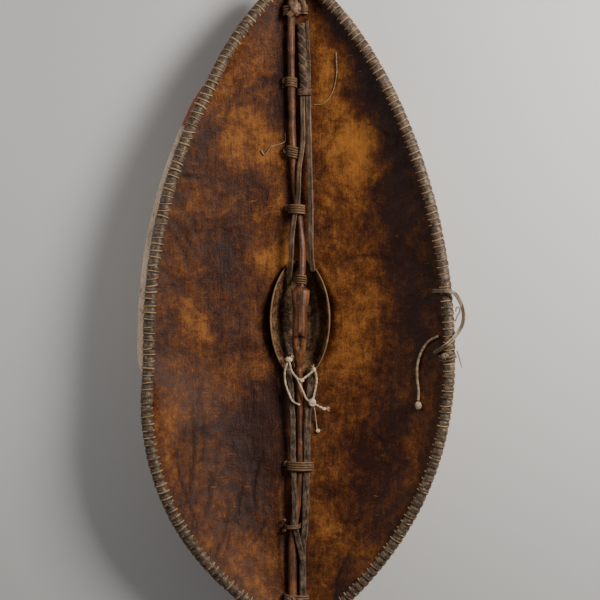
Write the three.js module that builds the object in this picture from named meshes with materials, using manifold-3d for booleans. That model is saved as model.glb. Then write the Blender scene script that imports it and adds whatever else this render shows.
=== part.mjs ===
// A hide war shield of East African (Maasai) kind, lying on its convex face with the hollow side up.
// Millimetres, +Z up. +Y runs to the upper tip, +X to the right when looking down into the hollow.
// The origin is the middle of the small worn flat on top of the central boss, on which the shield rests.

import * as THREE from 'three';
import { mergeVertices } from 'three/addons/utils/BufferGeometryUtils.js';
import Module from 'manifold-3d';

const wasm = await Module();
wasm.setup();

// ---- Driving dimensions -------------------------------------------------------------------------

const GAP = 0.3; // left between two pieces that touch

const TOP_TIP = 575; // from the origin to the hide's upper tip
const BOTTOM_TIP = -526;
const WIDEST_Y = -50; // where the hide is widest
const REACH = { left: 253.8, right: 244 }; // the centre line to the hide's edge, at the widest place
// How full each quarter of the outline is: reach = REACH * (1 - along ** power) ** root.
const FULLNESS = {
  left: { top: { power: 2.23, root: 0.86 }, bottom: { power: 2.85, root: 0.93 } },
  right: { top: { power: 1.9, root: 0.74 }, bottom: { power: 2.27, root: 0.9 } },
};
const TIP_LEAN = -10; // the upper tip stands this far to the left

const HIDE_THICKNESS = 4;
const FLOOR_HEIGHT = 30; // the inner face at the centre, if there were no boss
const TIP_RISE = 62; // how much higher the inner face is at both tips
const WALL_HEIGHT = 100; // from the floor to the hide's edge, at the widest place
const WALL_TAPER = 1.3; // how fast the wall gets lower as the shield gets narrower
const WALL_CURVE = { left: 2.6, right: 2.1 }; // the power of the cross-section's curve

// The left wall curls inwards over a long stretch: it stands out below its edge.
const WARP = { y: 154, halfLength: 340, flatShare: 0.6, edgeInward: 5, wallOutward: 11, wallShare: 0.18 };

const BOSS = { halfWidth: 64, halfLength: 106, flatShare: 0.48 }; // the bulge that makes room for the hand

const ROLL = { inner: 9.5, outer: 10.5, crown: 12, lip: 4.8 }; // the rolled hide strip round the edge
const ROLL_SLOT_GAP = 2.3;

const STAFF_RADIUS = 6.4;
const STAFF_BUTT_RADIUS = 7.2;
const STAFF_ENDS = { top: 548, bottom: -500 };
const GRIP = {
  top: 59,
  bottom: -92,
  shoulder: 12, // how fast the stick swells into the grip at its top
  tongue: 62, // the length of its tapering lower end
  halfWidth: 12.6,
  flare: { y: 45, halfLength: 34, amount: 2.6 }, // the wider part under the winding
  halfDepth: 11,
  axisHeight: 50,
  bridge: 170, // from the middle to where the staff lies down on the hide
};

const GUARD = { halfWidth: 50, halfLength: 102, thickness: 2.2, clearance: 3.2, edgeRise: 20 };

const STRAP_THICKNESS = 3;
const STRAP_WIDTHS = { upperLeft: 8, upperRight: 9.4, lowerLeft: 9, lowerRight: 11 };
// The wound bundle under the upper tip: its ends, the middle of each end, and its size there.
const WRAPPING = {
  low: { y: 390, x: 7.5, halfWidth: 9.4 },
  high: { y: 500, x: 1.8, halfWidth: 7.8 },
  halfDepth: 6,
  rib: 0.6, // how far every other ring stands out
  rings: 12,
};
const THONG = 4; // the width of one turn of a binding thong

const COLOUR = {
  hide: 0x7a4a22,
  strip: 0x3a2c22,
  wood: 0x6b3a1c,
  leather: 0x5a3a20,
  strap: 0x4a3424,
  thong: 0x3d2a1b,
  tan: 0x8a6a48,
  cord: 0xcdbfa2,
};

const ROWS_PER_END = 18; // rows of the hide's mesh from its middle to each tip
const COLUMNS_PER_SIDE = 10;

// ---- Small helpers ------------------------------------------------------------------------------

const v3 = (x, y, z) => new THREE.Vector3(x, y, z);
const range = (count) => [...Array(count).keys()];
const { lerp, smoothstep, clamp } = THREE.MathUtils;

/** Spreads equal steps so that they are closer together at both ends. */
const crowded = (step, amount) => step - (amount * Math.sin(2 * Math.PI * step)) / (2 * Math.PI);

/** A hump of height 1 at 0 that falls smoothly to 0 at -1 and 1. */
const hump = (at) => (Math.abs(at) < 1 ? Math.cos((Math.PI / 2) * at) ** 2 : 0);

function signedVolume(geometry) {
  const at = geometry.attributes.position;
  const corner = [v3(), v3(), v3()];
  let volume = 0;
  for (let i = 0; i < geometry.index.count; i += 3) {
    corner.forEach((c, k) => c.fromBufferAttribute(at, geometry.index.getX(i + k)));
    volume += corner[0].dot(corner[1].clone().cross(corner[2])) / 6;
  }
  return volume;
}

/** Keeps only merged positions, and turns the faces outwards. */
function tidied(geometry) {
  geometry.deleteAttribute('normal');
  geometry.deleteAttribute('uv');
  const merged = mergeVertices(geometry, 1e-4);
  if (signedVolume(merged) < 0) {
    merged.setIndex([...merged.index.array].reverse());
  }
  merged.computeVertexNormals();
  return merged;
}

function fromPoints(points, faces) {
  const geometry = new THREE.BufferGeometry().setFromPoints(points);
  geometry.setIndex(faces.flat());
  return tidied(geometry);
}

/** A skin through rings of equally many points. An open row of rings gets flat ends. */
function loft(rings, closed = false) {
  const around = rings[0].length;
  const faces = [];
  const joins = closed ? rings.length : rings.length - 1;
  for (const i of range(joins)) {
    const next = (i + 1) % rings.length;
    for (const j of range(around)) {
      const a = i * around + j;
      const b = i * around + ((j + 1) % around);
      const c = next * around + ((j + 1) % around);
      const d = next * around + j;
      faces.push([a, b, c], [a, c, d]);
    }
  }
  if (!closed) {
    const last = (rings.length - 1) * around;
    for (const j of range(around - 2)) {
      faces.push([0, j + 2, j + 1], [last, last + j + 1, last + j + 2]);
    }
  }
  return fromPoints(rings.flat(), faces);
}

/** A round cord along a smooth curve through the points. */
function roundCord(points, radius, steps, sides = 8) {
  const curve = new THREE.CatmullRomCurve3(points.map((p) => v3(...p)), false, 'centripetal');
  const section = new THREE.Shape(
    range(sides).map((i) => {
      const angle = (2 * Math.PI * i) / sides;
      return new THREE.Vector2(radius * Math.cos(angle), radius * Math.sin(angle));
    }),
  );
  return tidied(new THREE.ExtrudeGeometry(section, { steps, extrudePath: curve }));
}

/** A flat strip along a smooth curve, with its width level. */
function flatStrip(points, width, thickness, steps) {
  const curve = new THREE.CatmullRomCurve3(points.map((p) => v3(...p)), false, 'centripetal');
  const rings = range(steps + 1).map((i) => {
    const share = i / steps;
    const middle = curve.getPoint(share);
    const ahead = curve.getTangent(share);
    const side = ahead.clone().cross(v3(0, 0, 1)).normalize();
    const up = side.clone().cross(ahead).normalize();
    const half = width / 2;
    const bevel = thickness * 0.3;
    const place = (s, u) => middle.clone().addScaledVector(side, s).addScaledVector(up, u);
    return [
      place(-half, -thickness / 2 + bevel),
      place(-half + bevel, -thickness / 2),
      place(half - bevel, -thickness / 2),
      place(half, -thickness / 2 + bevel),
      place(half - bevel, thickness / 2),
      place(-half + bevel, thickness / 2),
    ];
  });
  return loft(rings);
}

function lump([x, y, z], [rx, ry, rz]) {
  return tidied(new THREE.SphereGeometry(1, 8, 5).scale(rx, ry, rz).translate(x, y, z));
}

function toSolid(geometry) {
  return new wasm.Manifold(
    new wasm.Mesh({
      numProp: 3,
      vertProperties: Float32Array.from(geometry.attributes.position.array),
      triVerts: Uint32Array.from(geometry.index.array),
    }),
  );
}

function joined(geometries) {
  const mesh = geometries.map(toSolid).reduce((all, one) => all.add(one)).getMesh();
  const points = range(mesh.vertProperties.length / 3).map((i) =>
    v3(...mesh.vertProperties.slice(3 * i, 3 * i + 3)),
  );
  return fromPoints(points, [...mesh.triVerts]);
}

// ---- The hide's form ----------------------------------------------------------------------------

/** How far along the way from the widest place to the nearer tip y is, from 0 to 1. */
function alongToTip(y) {
  const tip = y > WIDEST_Y ? TOP_TIP : BOTTOM_TIP;
  return clamp((y - WIDEST_Y) / (tip - WIDEST_Y), 0, 1);
}

/** The reach from the centre line to the edge at y, before the warp. */
function reach(side, y) {
  const { power, root } = FULLNESS[side][y > WIDEST_Y ? 'top' : 'bottom'];
  return REACH[side] * (1 - alongToTip(y) ** power) ** root;
}

const centreX = (y) => (y > WIDEST_Y ? TIP_LEAN * alongToTip(y) ** 4 : 0);

/** How strongly the left wall is warped at y: 1 over its long middle stretch. */
function warpAt(side, y) {
  const away = Math.abs(y - WARP.y) / WARP.halfLength;
  return side === 'left' ? 1 - smoothstep(away, WARP.flatShare, 1) : 0;
}

/** The inner face's height on the centre line, without the boss. */
const spineHeight = (y) => FLOOR_HEIGHT + TIP_RISE * (y / (y > 0 ? TOP_TIP : BOTTOM_TIP)) ** 2;

/** How strongly the boss pulls the face down at x, y: 1 over its flat, 0 outside it. */
function bossAt(x, y) {
  const away = Math.hypot(x / BOSS.halfWidth, y / BOSS.halfLength);
  return 1 - smoothstep(away, BOSS.flatShare, 1);
}

/** A point of the inner face: across runs from -1 at the left edge to 1 at the right edge. */
function innerFace(y, across) {
  const side = across < 0 ? 'left' : 'right';
  const out = Math.abs(across);
  const warp = warpAt(side, y);
  const edge = reach(side, y) - warp * WARP.edgeInward;
  const bulge = warp * (WARP.wallOutward + WARP.wallShare * edge) * Math.sin(Math.PI * out ** 3.2);
  const x = centreX(y) + Math.sign(across) * (edge * out + bulge);
  const wall = WALL_HEIGHT * (reach(side, y) / REACH[side]) ** WALL_TAPER;
  const base = spineHeight(y) + wall * out ** WALL_CURVE[side];
  return v3(x, y, lerp(base, HIDE_THICKNESS, bossAt(x, y)));
}

/** The inner face's height over x, y, away from the edges. */
function innerHeight(x, y) {
  const side = x < centreX(y) ? 'left' : 'right';
  const edge = reach(side, y) - warpAt(side, y) * WARP.edgeInward;
  return innerFace(y, (x - centreX(y)) / edge).z;
}

/** The direction off the inner face, into the hollow. */
function innerNormal(y, across) {
  const step = 0.5;
  const inside = clamp(across, -0.999, 0.999);
  const along = innerFace(y + step, inside).sub(innerFace(y - step, inside));
  const over = innerFace(y, inside + 0.001).sub(innerFace(y, inside - 0.001));
  return over.cross(along).normalize();
}

const outerFace = (y, across) =>
  innerFace(y, across).addScaledVector(innerNormal(y, across), -HIDE_THICKNESS);

/** The rows of the hide's mesh, from the lower tip to the upper one, without the tips. */
function rowPlaces() {
  const steps = range(ROWS_PER_END - 1).map((i) => crowded((i + 1) / ROWS_PER_END, 0.45));
  return [
    ...steps.map((s) => s * BOTTOM_TIP).reverse(),
    0,
    ...steps.map((s) => s * TOP_TIP),
  ];
}

const ROWS = rowPlaces();
const COLUMNS = range(2 * COLUMNS_PER_SIDE + 1).map((i) => {
  const step = (i - COLUMNS_PER_SIDE) / COLUMNS_PER_SIDE;
  return Math.sign(step) * crowded(Math.abs(step), 0.5);
});

/** The hide's edge at a tip, where its two faces end. */
function tipPair(y) {
  const top = v3(centreX(y), y, spineHeight(y));
  return { inner: top, outer: top.clone().add(v3(0, 0, -HIDE_THICKNESS)) };
}

function hideBody() {
  const width = COLUMNS.length;
  const points = [];
  for (const face of [innerFace, outerFace]) {
    for (const y of ROWS) {
      points.push(...COLUMNS.map((across) => face(y, across)));
    }
  }
  const tips = [tipPair(BOTTOM_TIP), tipPair(TOP_TIP)];
  const tipStart = points.length;
  points.push(tips[0].inner, tips[0].outer, tips[1].inner, tips[1].outer);
  const at = (layer, row, column) => (layer * ROWS.length + row) * width + column;
  const faces = [];
  const quad = (a, b, c, d) => faces.push([a, b, c], [a, c, d]);
  const lastRow = ROWS.length - 1;
  for (const column of range(width - 1)) {
    for (const row of range(lastRow)) {
      quad(at(0, row, column), at(0, row, column + 1), at(0, row + 1, column + 1), at(0, row + 1, column));
      quad(at(1, row, column), at(1, row + 1, column), at(1, row + 1, column + 1), at(1, row, column + 1));
    }
    faces.push([tipStart, at(0, 0, column + 1), at(0, 0, column)]);
    faces.push([tipStart + 1, at(1, 0, column), at(1, 0, column + 1)]);
    faces.push([tipStart + 2, at(0, lastRow, column), at(0, lastRow, column + 1)]);
    faces.push([tipStart + 3, at(1, lastRow, column + 1), at(1, lastRow, column)]);
  }
  const left = 0;
  const right = width - 1;
  for (const row of range(lastRow)) {
    quad(at(0, row, left), at(0, row + 1, left), at(1, row + 1, left), at(1, row, left));
    quad(at(0, row, right), at(1, row, right), at(1, row + 1, right), at(0, row + 1, right));
  }
  quad(tipStart, at(0, 0, left), at(1, 0, left), tipStart + 1);
  quad(tipStart, tipStart + 1, at(1, 0, right), at(0, 0, right));
  quad(tipStart + 2, tipStart + 3, at(1, lastRow, left), at(0, lastRow, left));
  quad(tipStart + 2, at(0, lastRow, right), at(1, lastRow, right), tipStart + 3);
  return fromPoints(points, faces);
}

// ---- The rolled strip round the edge ------------------------------------------------------------

/** One place on the hide's edge: the middle of its thickness, and the way out along the wall. */
function edgePlace(y, across) {
  const middle = innerFace(y, across).add(outerFace(y, across)).multiplyScalar(0.5);
  const room = reach(across < 0 ? 'left' : 'right', y);
  const lip = Math.min(ROLL.lip, 0.2 * room);
  const deeper = Math.sign(across) * Math.min(COLUMNS.at(-2), 1 - lip / room);
  const below = innerFace(y, deeper).add(outerFace(y, deeper)).multiplyScalar(0.5);
  return { middle, outward: middle.clone().sub(below).normalize(), lip };
}

function tipPlace(y) {
  const { inner, outer } = tipPair(y);
  const middle = inner.clone().add(outer).multiplyScalar(0.5);
  const before = y - Math.sign(y) * 5;
  const below = v3(centreX(before), before, spineHeight(before) - HIDE_THICKNESS / 2);
  return { middle, outward: middle.clone().sub(below).normalize(), lip: 4 };
}

/** The roll's cross-section: inward off the hide's inner face, and out along the wall. */
function rollSection(lip) {
  const slot = HIDE_THICKNESS / 2 + ROLL_SLOT_GAP;
  return [
    [slot, -lip],
    [ROLL.inner * 0.8, -lip - 0.5],
    [ROLL.inner, 0],
    [ROLL.inner * 0.8, ROLL.crown * 0.65],
    [0, ROLL.crown],
    [-ROLL.outer * 0.8, ROLL.crown * 0.65],
    [-ROLL.outer, 0],
    [-ROLL.outer * 0.7, -lip * 0.7],
    [-slot, -lip * 0.6],
    [-slot, ROLL_SLOT_GAP],
    [slot, ROLL_SLOT_GAP],
  ];
}

function rimBinding() {
  const places = [
    tipPlace(TOP_TIP),
    ...[...ROWS].reverse().map((y) => edgePlace(y, 1)),
    tipPlace(BOTTOM_TIP),
    ...ROWS.map((y) => edgePlace(y, -1)),
  ];
  const rings = places.map(({ middle, outward, lip }, i) => {
    const before = places.at(i - 1).middle;
    const after = places[(i + 1) % places.length].middle;
    const ahead = after.clone().sub(before).normalize();
    const inward = outward.clone().cross(ahead).normalize();
    const out = ahead.clone().cross(inward).normalize();
    return rollSection(lip).map(([n, u]) =>
      middle.clone().addScaledVector(inward, n).addScaledVector(out, u),
    );
  });
  return loft(rings, true);
}

// ---- The staff and its carved grip --------------------------------------------------------------

// The stick's natural bends: x at each y.
const STAFF_BENDS = new THREE.SplineCurve(
  [
    [STAFF_ENDS.bottom, -12],
    [-382, -12.5],
    [-307, -5],
    [-240, 0],
    [-93, -2],
    [45, 1],
    [112, 4],
    [161, 0],
    [262, -11],
    [413, -15],
    [STAFF_ENDS.top, -15],
  ].map(([y, x]) => new THREE.Vector2(y, x)),
);
const STAFF_LINE = STAFF_BENDS.getPoints(400);

function staffX(y) {
  const next = Math.max(1, STAFF_LINE.findIndex((p) => p.x >= y));
  const a = STAFF_LINE[next - 1];
  const b = STAFF_LINE[next];
  return lerp(a.y, b.y, clamp((y - a.x) / (b.x - a.x), 0, 1));
}

const staffRadius = (y) => lerp(STAFF_RADIUS, STAFF_BUTT_RADIUS, smoothstep(-y, 200, 380));

/** The staff lies on the hide, and bridges the boss in a low arch. */
function staffHeight(y) {
  const lying = (at) => innerHeight(staffX(at), at) + staffRadius(at) + 2 * GAP;
  if (Math.abs(y) >= GRIP.bridge) {
    return lying(y);
  }
  const footing = lying(Math.sign(y || 1) * GRIP.bridge);
  return lerp(footing, GRIP.axisHeight, hump(y / GRIP.bridge));
}

const staffAxis = (y) => v3(staffX(y), y, staffHeight(y));
const staffTop = (y) => staffHeight(y) + staffRadius(y);

/** How far the stick has swollen into the grip at y, from 0 to 1. */
function gripSwell(y) {
  if (y > 0) {
    return 1 - smoothstep(y, GRIP.top - GRIP.shoulder, GRIP.top);
  }
  return smoothstep(y, GRIP.bottom, GRIP.bottom + GRIP.tongue);
}

function staff() {
  const ordinary = range(12).map((i) => lerp(STAFF_ENDS.bottom, -100, i / 11));
  const upper = range(14).map((i) => lerp(62, STAFF_ENDS.top, i / 13));
  const grip = [-92, -80, -66, -50, -34, -15, 10, 28, 46, 50, 54, 58];
  const sides = 8;
  const rings = [...ordinary, ...grip, ...upper].map((y) => {
    const swell = gripSwell(y);
    const middle = staffAxis(y);
    const flare = GRIP.flare.amount * hump((y - GRIP.flare.y) / GRIP.flare.halfLength);
    const halfWidth = lerp(staffRadius(y), GRIP.halfWidth + flare, swell);
    const halfDepth = lerp(staffRadius(y), GRIP.halfDepth, swell);
    return range(sides).map((i) => {
      const angle = (2 * Math.PI * (i + 0.5)) / sides;
      return v3(
        middle.x + halfWidth * Math.cos(angle),
        y,
        middle.z + halfDepth * Math.sin(angle),
      );
    });
  });
  return loft(rings);
}

// ---- The leather guard behind the grip ----------------------------------------------------------

function handGuard() {
  const around = 24;
  const layers = 4;
  const point = (out, angle, lift) => {
    const x = GUARD.halfWidth * out * Math.cos(angle);
    const y = GUARD.halfLength * out * Math.sin(angle);
    const standing = GUARD.edgeRise * Math.cos(angle) ** 2 * out ** 6;
    return v3(x * (1 - 0.03 * lift), y, innerHeight(x, y) + GUARD.clearance + standing + lift);
  };
  const points = [];
  const lifts = [0, GUARD.thickness];
  for (const lift of lifts) {
    points.push(point(0, 0, lift));
    for (const layer of range(layers)) {
      const out = Math.sqrt((layer + 1) / layers);
      points.push(...range(around).map((i) => point(out, (2 * Math.PI * i) / around, lift)));
    }
  }
  const perFace = 1 + layers * around;
  const at = (face, layer, i) => face * perFace + 1 + layer * around + (i % around);
  const faces = [];
  for (const i of range(around)) {
    faces.push([0, at(0, 0, i + 1), at(0, 0, i)]);
    faces.push([perFace, at(1, 0, i), at(1, 0, i + 1)]);
    for (const layer of range(layers - 1)) {
      const [a, b] = [at(0, layer, i), at(0, layer, i + 1)];
      const [c, d] = [at(0, layer + 1, i + 1), at(0, layer + 1, i)];
      faces.push([a, b, c], [a, c, d]);
      const [e, f] = [at(1, layer, i), at(1, layer, i + 1)];
      const [g, h] = [at(1, layer + 1, i + 1), at(1, layer + 1, i)];
      faces.push([e, g, f], [e, h, g]);
    }
    const [a, b] = [at(0, layers - 1, i), at(0, layers - 1, i + 1)];
    const [c, d] = [at(1, layers - 1, i + 1), at(1, layers - 1, i)];
    faces.push([a, b, c], [a, c, d]);
  }
  return fromPoints(points, faces);
}

// ---- Straps along the staff ---------------------------------------------------------------------

/** The wound strip that binds the upper straps together below the tip. */
function upperWrapping() {
  const { low, high, rib } = WRAPPING;
  const rings = range(WRAPPING.rings).map((i) => {
    const share = i / (WRAPPING.rings - 1);
    const y = lerp(low.y, high.y, share);
    const x = lerp(low.x, high.x, share);
    const proud = i % 2 ? rib : 0;
    const halfWidth = lerp(low.halfWidth, high.halfWidth, share) + proud;
    const halfDepth = WRAPPING.halfDepth + proud;
    const z = innerHeight(x, y) + 2 + halfDepth;
    return range(8).map((k) => {
      const angle = (2 * Math.PI * (k + 0.5)) / 8;
      return v3(x + halfWidth * Math.cos(angle), y, z + halfDepth * Math.sin(angle));
    });
  });
  return loft(rings);
}

/** Points of a route: x, y, and the height above the hide or above the staff's top. */
const overHide = (x, y, above) => [x, y, innerHeight(x, y) + above];
const overStaff = (x, y, above) => [x, y, staffTop(y) + above];

const UPPER_LEFT_STRAP = [
  overHide(4, 388, 9),
  overHide(4.3, 297, 14),
  overStaff(-1.2, 257, 4),
  overStaff(-3, 211, 3.6),
  overStaff(-8.5, 180, 4.5),
  overStaff(-12.5, 150, 3.5),
  overStaff(-15.5, 100, 0),
  overHide(-19.5, 58, 24),
];
const UPPER_RIGHT_STRAP = [
  overHide(13.5, 388, 9),
  overHide(15.5, 297, 13.5),
  overHide(18, 211, 15),
  overHide(19, 118, 16.5),
  overHide(22, 82, 19),
];
const LOWER_LEFT_STRAP = [
  overHide(-21, -84, 20),
  overHide(-16, -112, 17),
  overHide(-12.8, -160, 17),
  overStaff(-11.5, -240, 0.5),
  overStaff(-9.3, -307, 3.5),
  overStaff(-7.6, -350, 3.5),
  overStaff(-1.5, -378, 2.5),
  overHide(4.7, -406, 15.5),
];
const LOWER_RIGHT_STRAP = [
  overHide(21, -84, 19),
  overHide(15.4, -146, 15),
  overHide(12.8, -189, 15),
  overHide(11.5, -257, 13.5),
  overHide(8.6, -341, 9),
  overHide(8, -360, 7.5),
  overHide(4.7, -382, 6),
  overHide(4.7, -430, 6),
  overHide(4.7, -484, 6),
];

const upperLeftStrap = () => flatStrip(UPPER_LEFT_STRAP, STRAP_WIDTHS.upperLeft, STRAP_THICKNESS, 16);
const upperRightStrap = () => flatStrip(UPPER_RIGHT_STRAP, STRAP_WIDTHS.upperRight, STRAP_THICKNESS, 12);
const lowerLeftStrap = () => flatStrip(LOWER_LEFT_STRAP, STRAP_WIDTHS.lowerLeft, STRAP_THICKNESS, 16);
const lowerRightStrap = () => flatStrip(LOWER_RIGHT_STRAP, STRAP_WIDTHS.lowerRight, STRAP_THICKNESS, 15);

// ---- Bindings over the staff --------------------------------------------------------------------

/** Turns of thong that rise from the hide, cross over what they tie down, and go back into the hide. */
function archBinding({ left, right, top, y, turns, thickness = 3 }) {
  const length = turns * THONG;
  const middleX = (left + right) / 2;
  const halfWidth = (right - left) / 2;
  const slope = (innerHeight(middleX, y + 5) - innerHeight(middleX, y - 5)) / 10;
  const feet = Math.max(innerHeight(left - thickness, y), innerHeight(right + thickness, y)) + 3 * GAP;
  const shoulder = lerp(feet, top, 0.5);
  const angles = range(7).map((i) => Math.PI * (1 - i / 6));
  const spine = [
    { x: left, z: feet, out: v3(-1, 0, 0) },
    ...angles.map((angle) => ({
      x: middleX + halfWidth * Math.cos(angle),
      z: shoulder + (top - shoulder) * Math.sin(angle),
      out: v3(Math.cos(angle) / halfWidth, 0, Math.sin(angle) / (top - shoulder)).normalize(),
    })),
    { x: right, z: feet, out: v3(1, 0, 0) },
  ];
  const crowns = range(2 * turns + 1);
  const rings = spine.map(({ x, z, out }) => {
    const place = (turn, lift) => {
      const ahead = turn * THONG - length / 2;
      return v3(x, y + ahead, z + slope * ahead).addScaledVector(out, lift);
    };
    const ribs = crowns.map((half) => place(half / 2, half % 2 ? thickness : thickness * 0.5));
    return [place(0, 0), ...ribs, place(turns, 0)];
  });
  return loft(rings);
}

/** Turns of thong wound right round the staff. */
function windingRing(y, turns) {
  const inner = staffRadius(y) + 2 * GAP;
  const profile = [new THREE.Vector2(inner, 0)];
  for (const turn of range(turns)) {
    profile.push(new THREE.Vector2(inner + 1.8, turn * THONG));
    profile.push(new THREE.Vector2(inner + 3.4, (turn + 0.5) * THONG));
  }
  profile.push(new THREE.Vector2(inner + 1.8, turns * THONG), new THREE.Vector2(inner, turns * THONG));
  profile.push(profile[0].clone());
  const ring = new THREE.LatheGeometry(profile, 12).translate(0, (-turns * THONG) / 2, 0);
  const ahead = staffAxis(y + 2).sub(staffAxis(y - 2)).normalize();
  ring.applyQuaternion(new THREE.Quaternion().setFromUnitVectors(v3(0, 1, 0), ahead));
  return tidied(ring.translate(...staffAxis(y).toArray()));
}

/** A knotted lashing over one end of the staff. */
function tipLashing(band, lumps) {
  return joined([archBinding(band), ...lumps.map(([place, radii]) => lump(place, radii))]);
}

// ---- Mended and loose thongs --------------------------------------------------------------------

function repairCord() {
  const radius = 1.9;
  const runs = [
    [[-20, -70, 57.5], [-26, -89, 54], [-25, -108, 52.5], [-20, -124, 54], [-12, -140, 56.5], [0, -146, 58]],
    [[-19, -69, 58], [-13.6, -89, 58.5], [-5, -101, 58.5], [4, -121, 57], [12, -137, 55.5], [21, -142, 56.5]],
    [[-5, -101, 58.5], [2, -103, 59], [10, -98, 57.5], [18.7, -91, 55], [25, -84, 53.5]],
    [[24.5, -85, 53.5], [28.5, -101, 52], [27, -115, 52], [24, -130, 53.5], [21, -142, 56.5]],
    [[21, -142, 56], [31, -148, 53], [44, -154, 50]],
  ];
  return joined([
    lump([-18.5, -68.5, 58.5], [6.2, 5, 4]),
    lump([21, -142, 56.5], [6.5, 7.5, 4]),
    ...runs.map((run) => roundCord(run, radius, run.length, 6)),
  ]);
}

const CARRY_STRAP = [
  [220, 48, 115.5],
  [226.5, 48, 126.5],
  [233, 48, 139],
  [243, 47.5, 146.5],
  [253, 44, 146],
  [261.5, 33, 141],
  [267.5, 18, 138],
  [269, 3.5, 137],
  [266, -10, 138],
  [258, -22, 141.5],
  [249, -32, 146],
  [240, -40, 146],
  [231, -48, 136.5],
  [222, -55, 120],
];
const CARRY_STRAP_SIZE = { width: 6.6, thickness: 2.5 };
const carryStrap = () => flatStrip(CARRY_STRAP, CARRY_STRAP_SIZE.width, CARRY_STRAP_SIZE.thickness, 22);

/** A route that lies on the inner face, a little above it. */
const lyingRoute = (places, above) => places.map(([x, y]) => [x, y, innerHeight(x, y) + above]);

const HANGING_THONG = { radius: 2.4, knot: [197, -143] };
const hangingThongRoute = lyingRoute(
  [[229, -27], [217, -33.5], [208, -43], [200, -60], [196, -79], [196, -100], [198, -119], [197.3, -134.5]],
  HANGING_THONG.radius + 1.8,
);
const BINDING_TAIL_RADIUS = 1;
const bindingTailRoute = lyingRoute(
  [[-25.5, 318], [-26, 304], [-34, 300], [-49.5, 294.5], [-61, 281.5], [-66, 289]],
  BINDING_TAIL_RADIUS + 0.8,
);
const THREAD_RADIUS = 0.8;
const threadLoopRoute = lyingRoute(
  [[61, 450], [61.5, 412], [53, 382], [38, 367], [24.5, 365.5]],
  THREAD_RADIUS + 1.2,
);
const repairThreadRoute = [[24.5, -151, 50.6], [25.8, -160, 47], [27.5, -174, 42.5], [29.5, -190, 41.7]];

// ---- The shield ---------------------------------------------------------------------------------

const shield = new THREE.Group();

function add(name, geometry, color, roughness) {
  const material = new THREE.MeshStandardMaterial({ color, roughness, metalness: 0 });
  const mesh = new THREE.Mesh(geometry, material);
  mesh.name = name;
  shield.add(mesh);
}

add('hide_body', hideBody(), COLOUR.hide, 0.6);
add('rim_binding', rimBinding(), COLOUR.strip, 0.55);
add('staff', staff(), COLOUR.wood, 0.45);
add('hand_guard', handGuard(), COLOUR.leather, 0.6);
add('upper_wrapping', upperWrapping(), COLOUR.strap, 0.6);
add('upper_strap_left', upperLeftStrap(), COLOUR.strap, 0.6);
add('upper_strap_right', upperRightStrap(), COLOUR.strap, 0.6);
add('lower_strap_left', lowerLeftStrap(), COLOUR.strap, 0.8);
add('lower_strap_right', lowerRightStrap(), COLOUR.strap, 0.8);

const BINDINGS = {
  staff_binding_top: { left: -22.4, right: -7.6, top: staffTop(402) + 0.8, y: 402, turns: 4 },
  staff_binding_upper: { left: -20.6, right: -4.6, top: staffTop(285) + 0.8, y: 285, turns: 5 },
  staff_binding_middle: { left: -17.5, right: 6.5, top: staffTop(188) + 8, y: 188, turns: 4 },
  staff_binding_lower: { left: -19.5, right: 21, top: staffTop(-250) + 7, y: -250, turns: 4 },
  staff_binding_bottom: { left: -24, right: -0.5, top: staffTop(-350) + 11, y: -350, turns: 3, thickness: 2 },
};
for (const [name, binding] of Object.entries(BINDINGS)) {
  add(name, archBinding(binding), COLOUR.thong, 0.6);
}
add('grip_winding', windingRing(68, 4), COLOUR.thong, 0.6);
add(
  'tip_lashing_top',
  tipLashing({ left: -26, right: 10.5, top: staffTop(520) + 1.5, y: 520, turns: 4 }, [
    [[-11, 523, staffTop(523) + 6], [9, 12, 5]],
    [[3, 529, staffTop(529) + 1], [8, 12, 6]],
  ]),
  COLOUR.strap,
  0.7,
);
add(
  'tip_lashing_bottom',
  tipLashing({ left: -24, right: 13, top: staffTop(-470) + 1.5, y: -470, turns: 4 }, [
    [[0, -474, staffTop(-474) + 3], [6.5, 7, 5]],
    [[-14, -468, staffTop(-468) + 5.5], [8, 8, 4]],
  ]),
  COLOUR.strap,
  0.7,
);
add('repair_cord', repairCord(), COLOUR.cord, 0.9);
add('carry_strap', carryStrap(), COLOUR.tan, 0.7);
add('hanging_thong', roundCord(hangingThongRoute, HANGING_THONG.radius, 12), COLOUR.tan, 0.8);
add(
  'hanging_thong_knot',
  lump([...HANGING_THONG.knot, innerHeight(...HANGING_THONG.knot) + 7.4], [6, 7.6, 4.6]),
  COLOUR.tan,
  0.8,
);
add('binding_tail', roundCord(bindingTailRoute, BINDING_TAIL_RADIUS, 11), COLOUR.thong, 0.7);
add('thread_loop', roundCord(threadLoopRoute, THREAD_RADIUS, 13), COLOUR.thong, 0.8);
add('repair_thread', roundCord(repairThreadRoute, THREAD_RADIUS, 8), COLOUR.cord, 0.9);

export default shield;
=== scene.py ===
"""Dresses the CAD frame of an East African hide shield, which lies with its hollow side up.

Forms are worked out in millimetres, as the frame's are, and turned to metres when a mesh is made.
"""

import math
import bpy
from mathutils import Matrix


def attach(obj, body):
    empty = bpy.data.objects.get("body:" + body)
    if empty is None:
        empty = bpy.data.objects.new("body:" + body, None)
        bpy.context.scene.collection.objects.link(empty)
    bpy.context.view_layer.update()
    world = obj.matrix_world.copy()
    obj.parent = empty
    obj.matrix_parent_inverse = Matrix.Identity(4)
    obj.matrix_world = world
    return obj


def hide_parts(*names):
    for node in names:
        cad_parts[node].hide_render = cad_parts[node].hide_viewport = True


bl_info = {
    "name": "Hide Shield",
    "version": (1, 0, 0),
    "blender": (4, 5, 0),
    "location": "View3D > Sidebar > Shield",
    "description": "Builds the hide, stitched rim, staff, straps and thongs of a hide shield",
    "category": "Add Mesh",
}

import bpy
import numpy as np
from mathutils import Vector, noise

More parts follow.
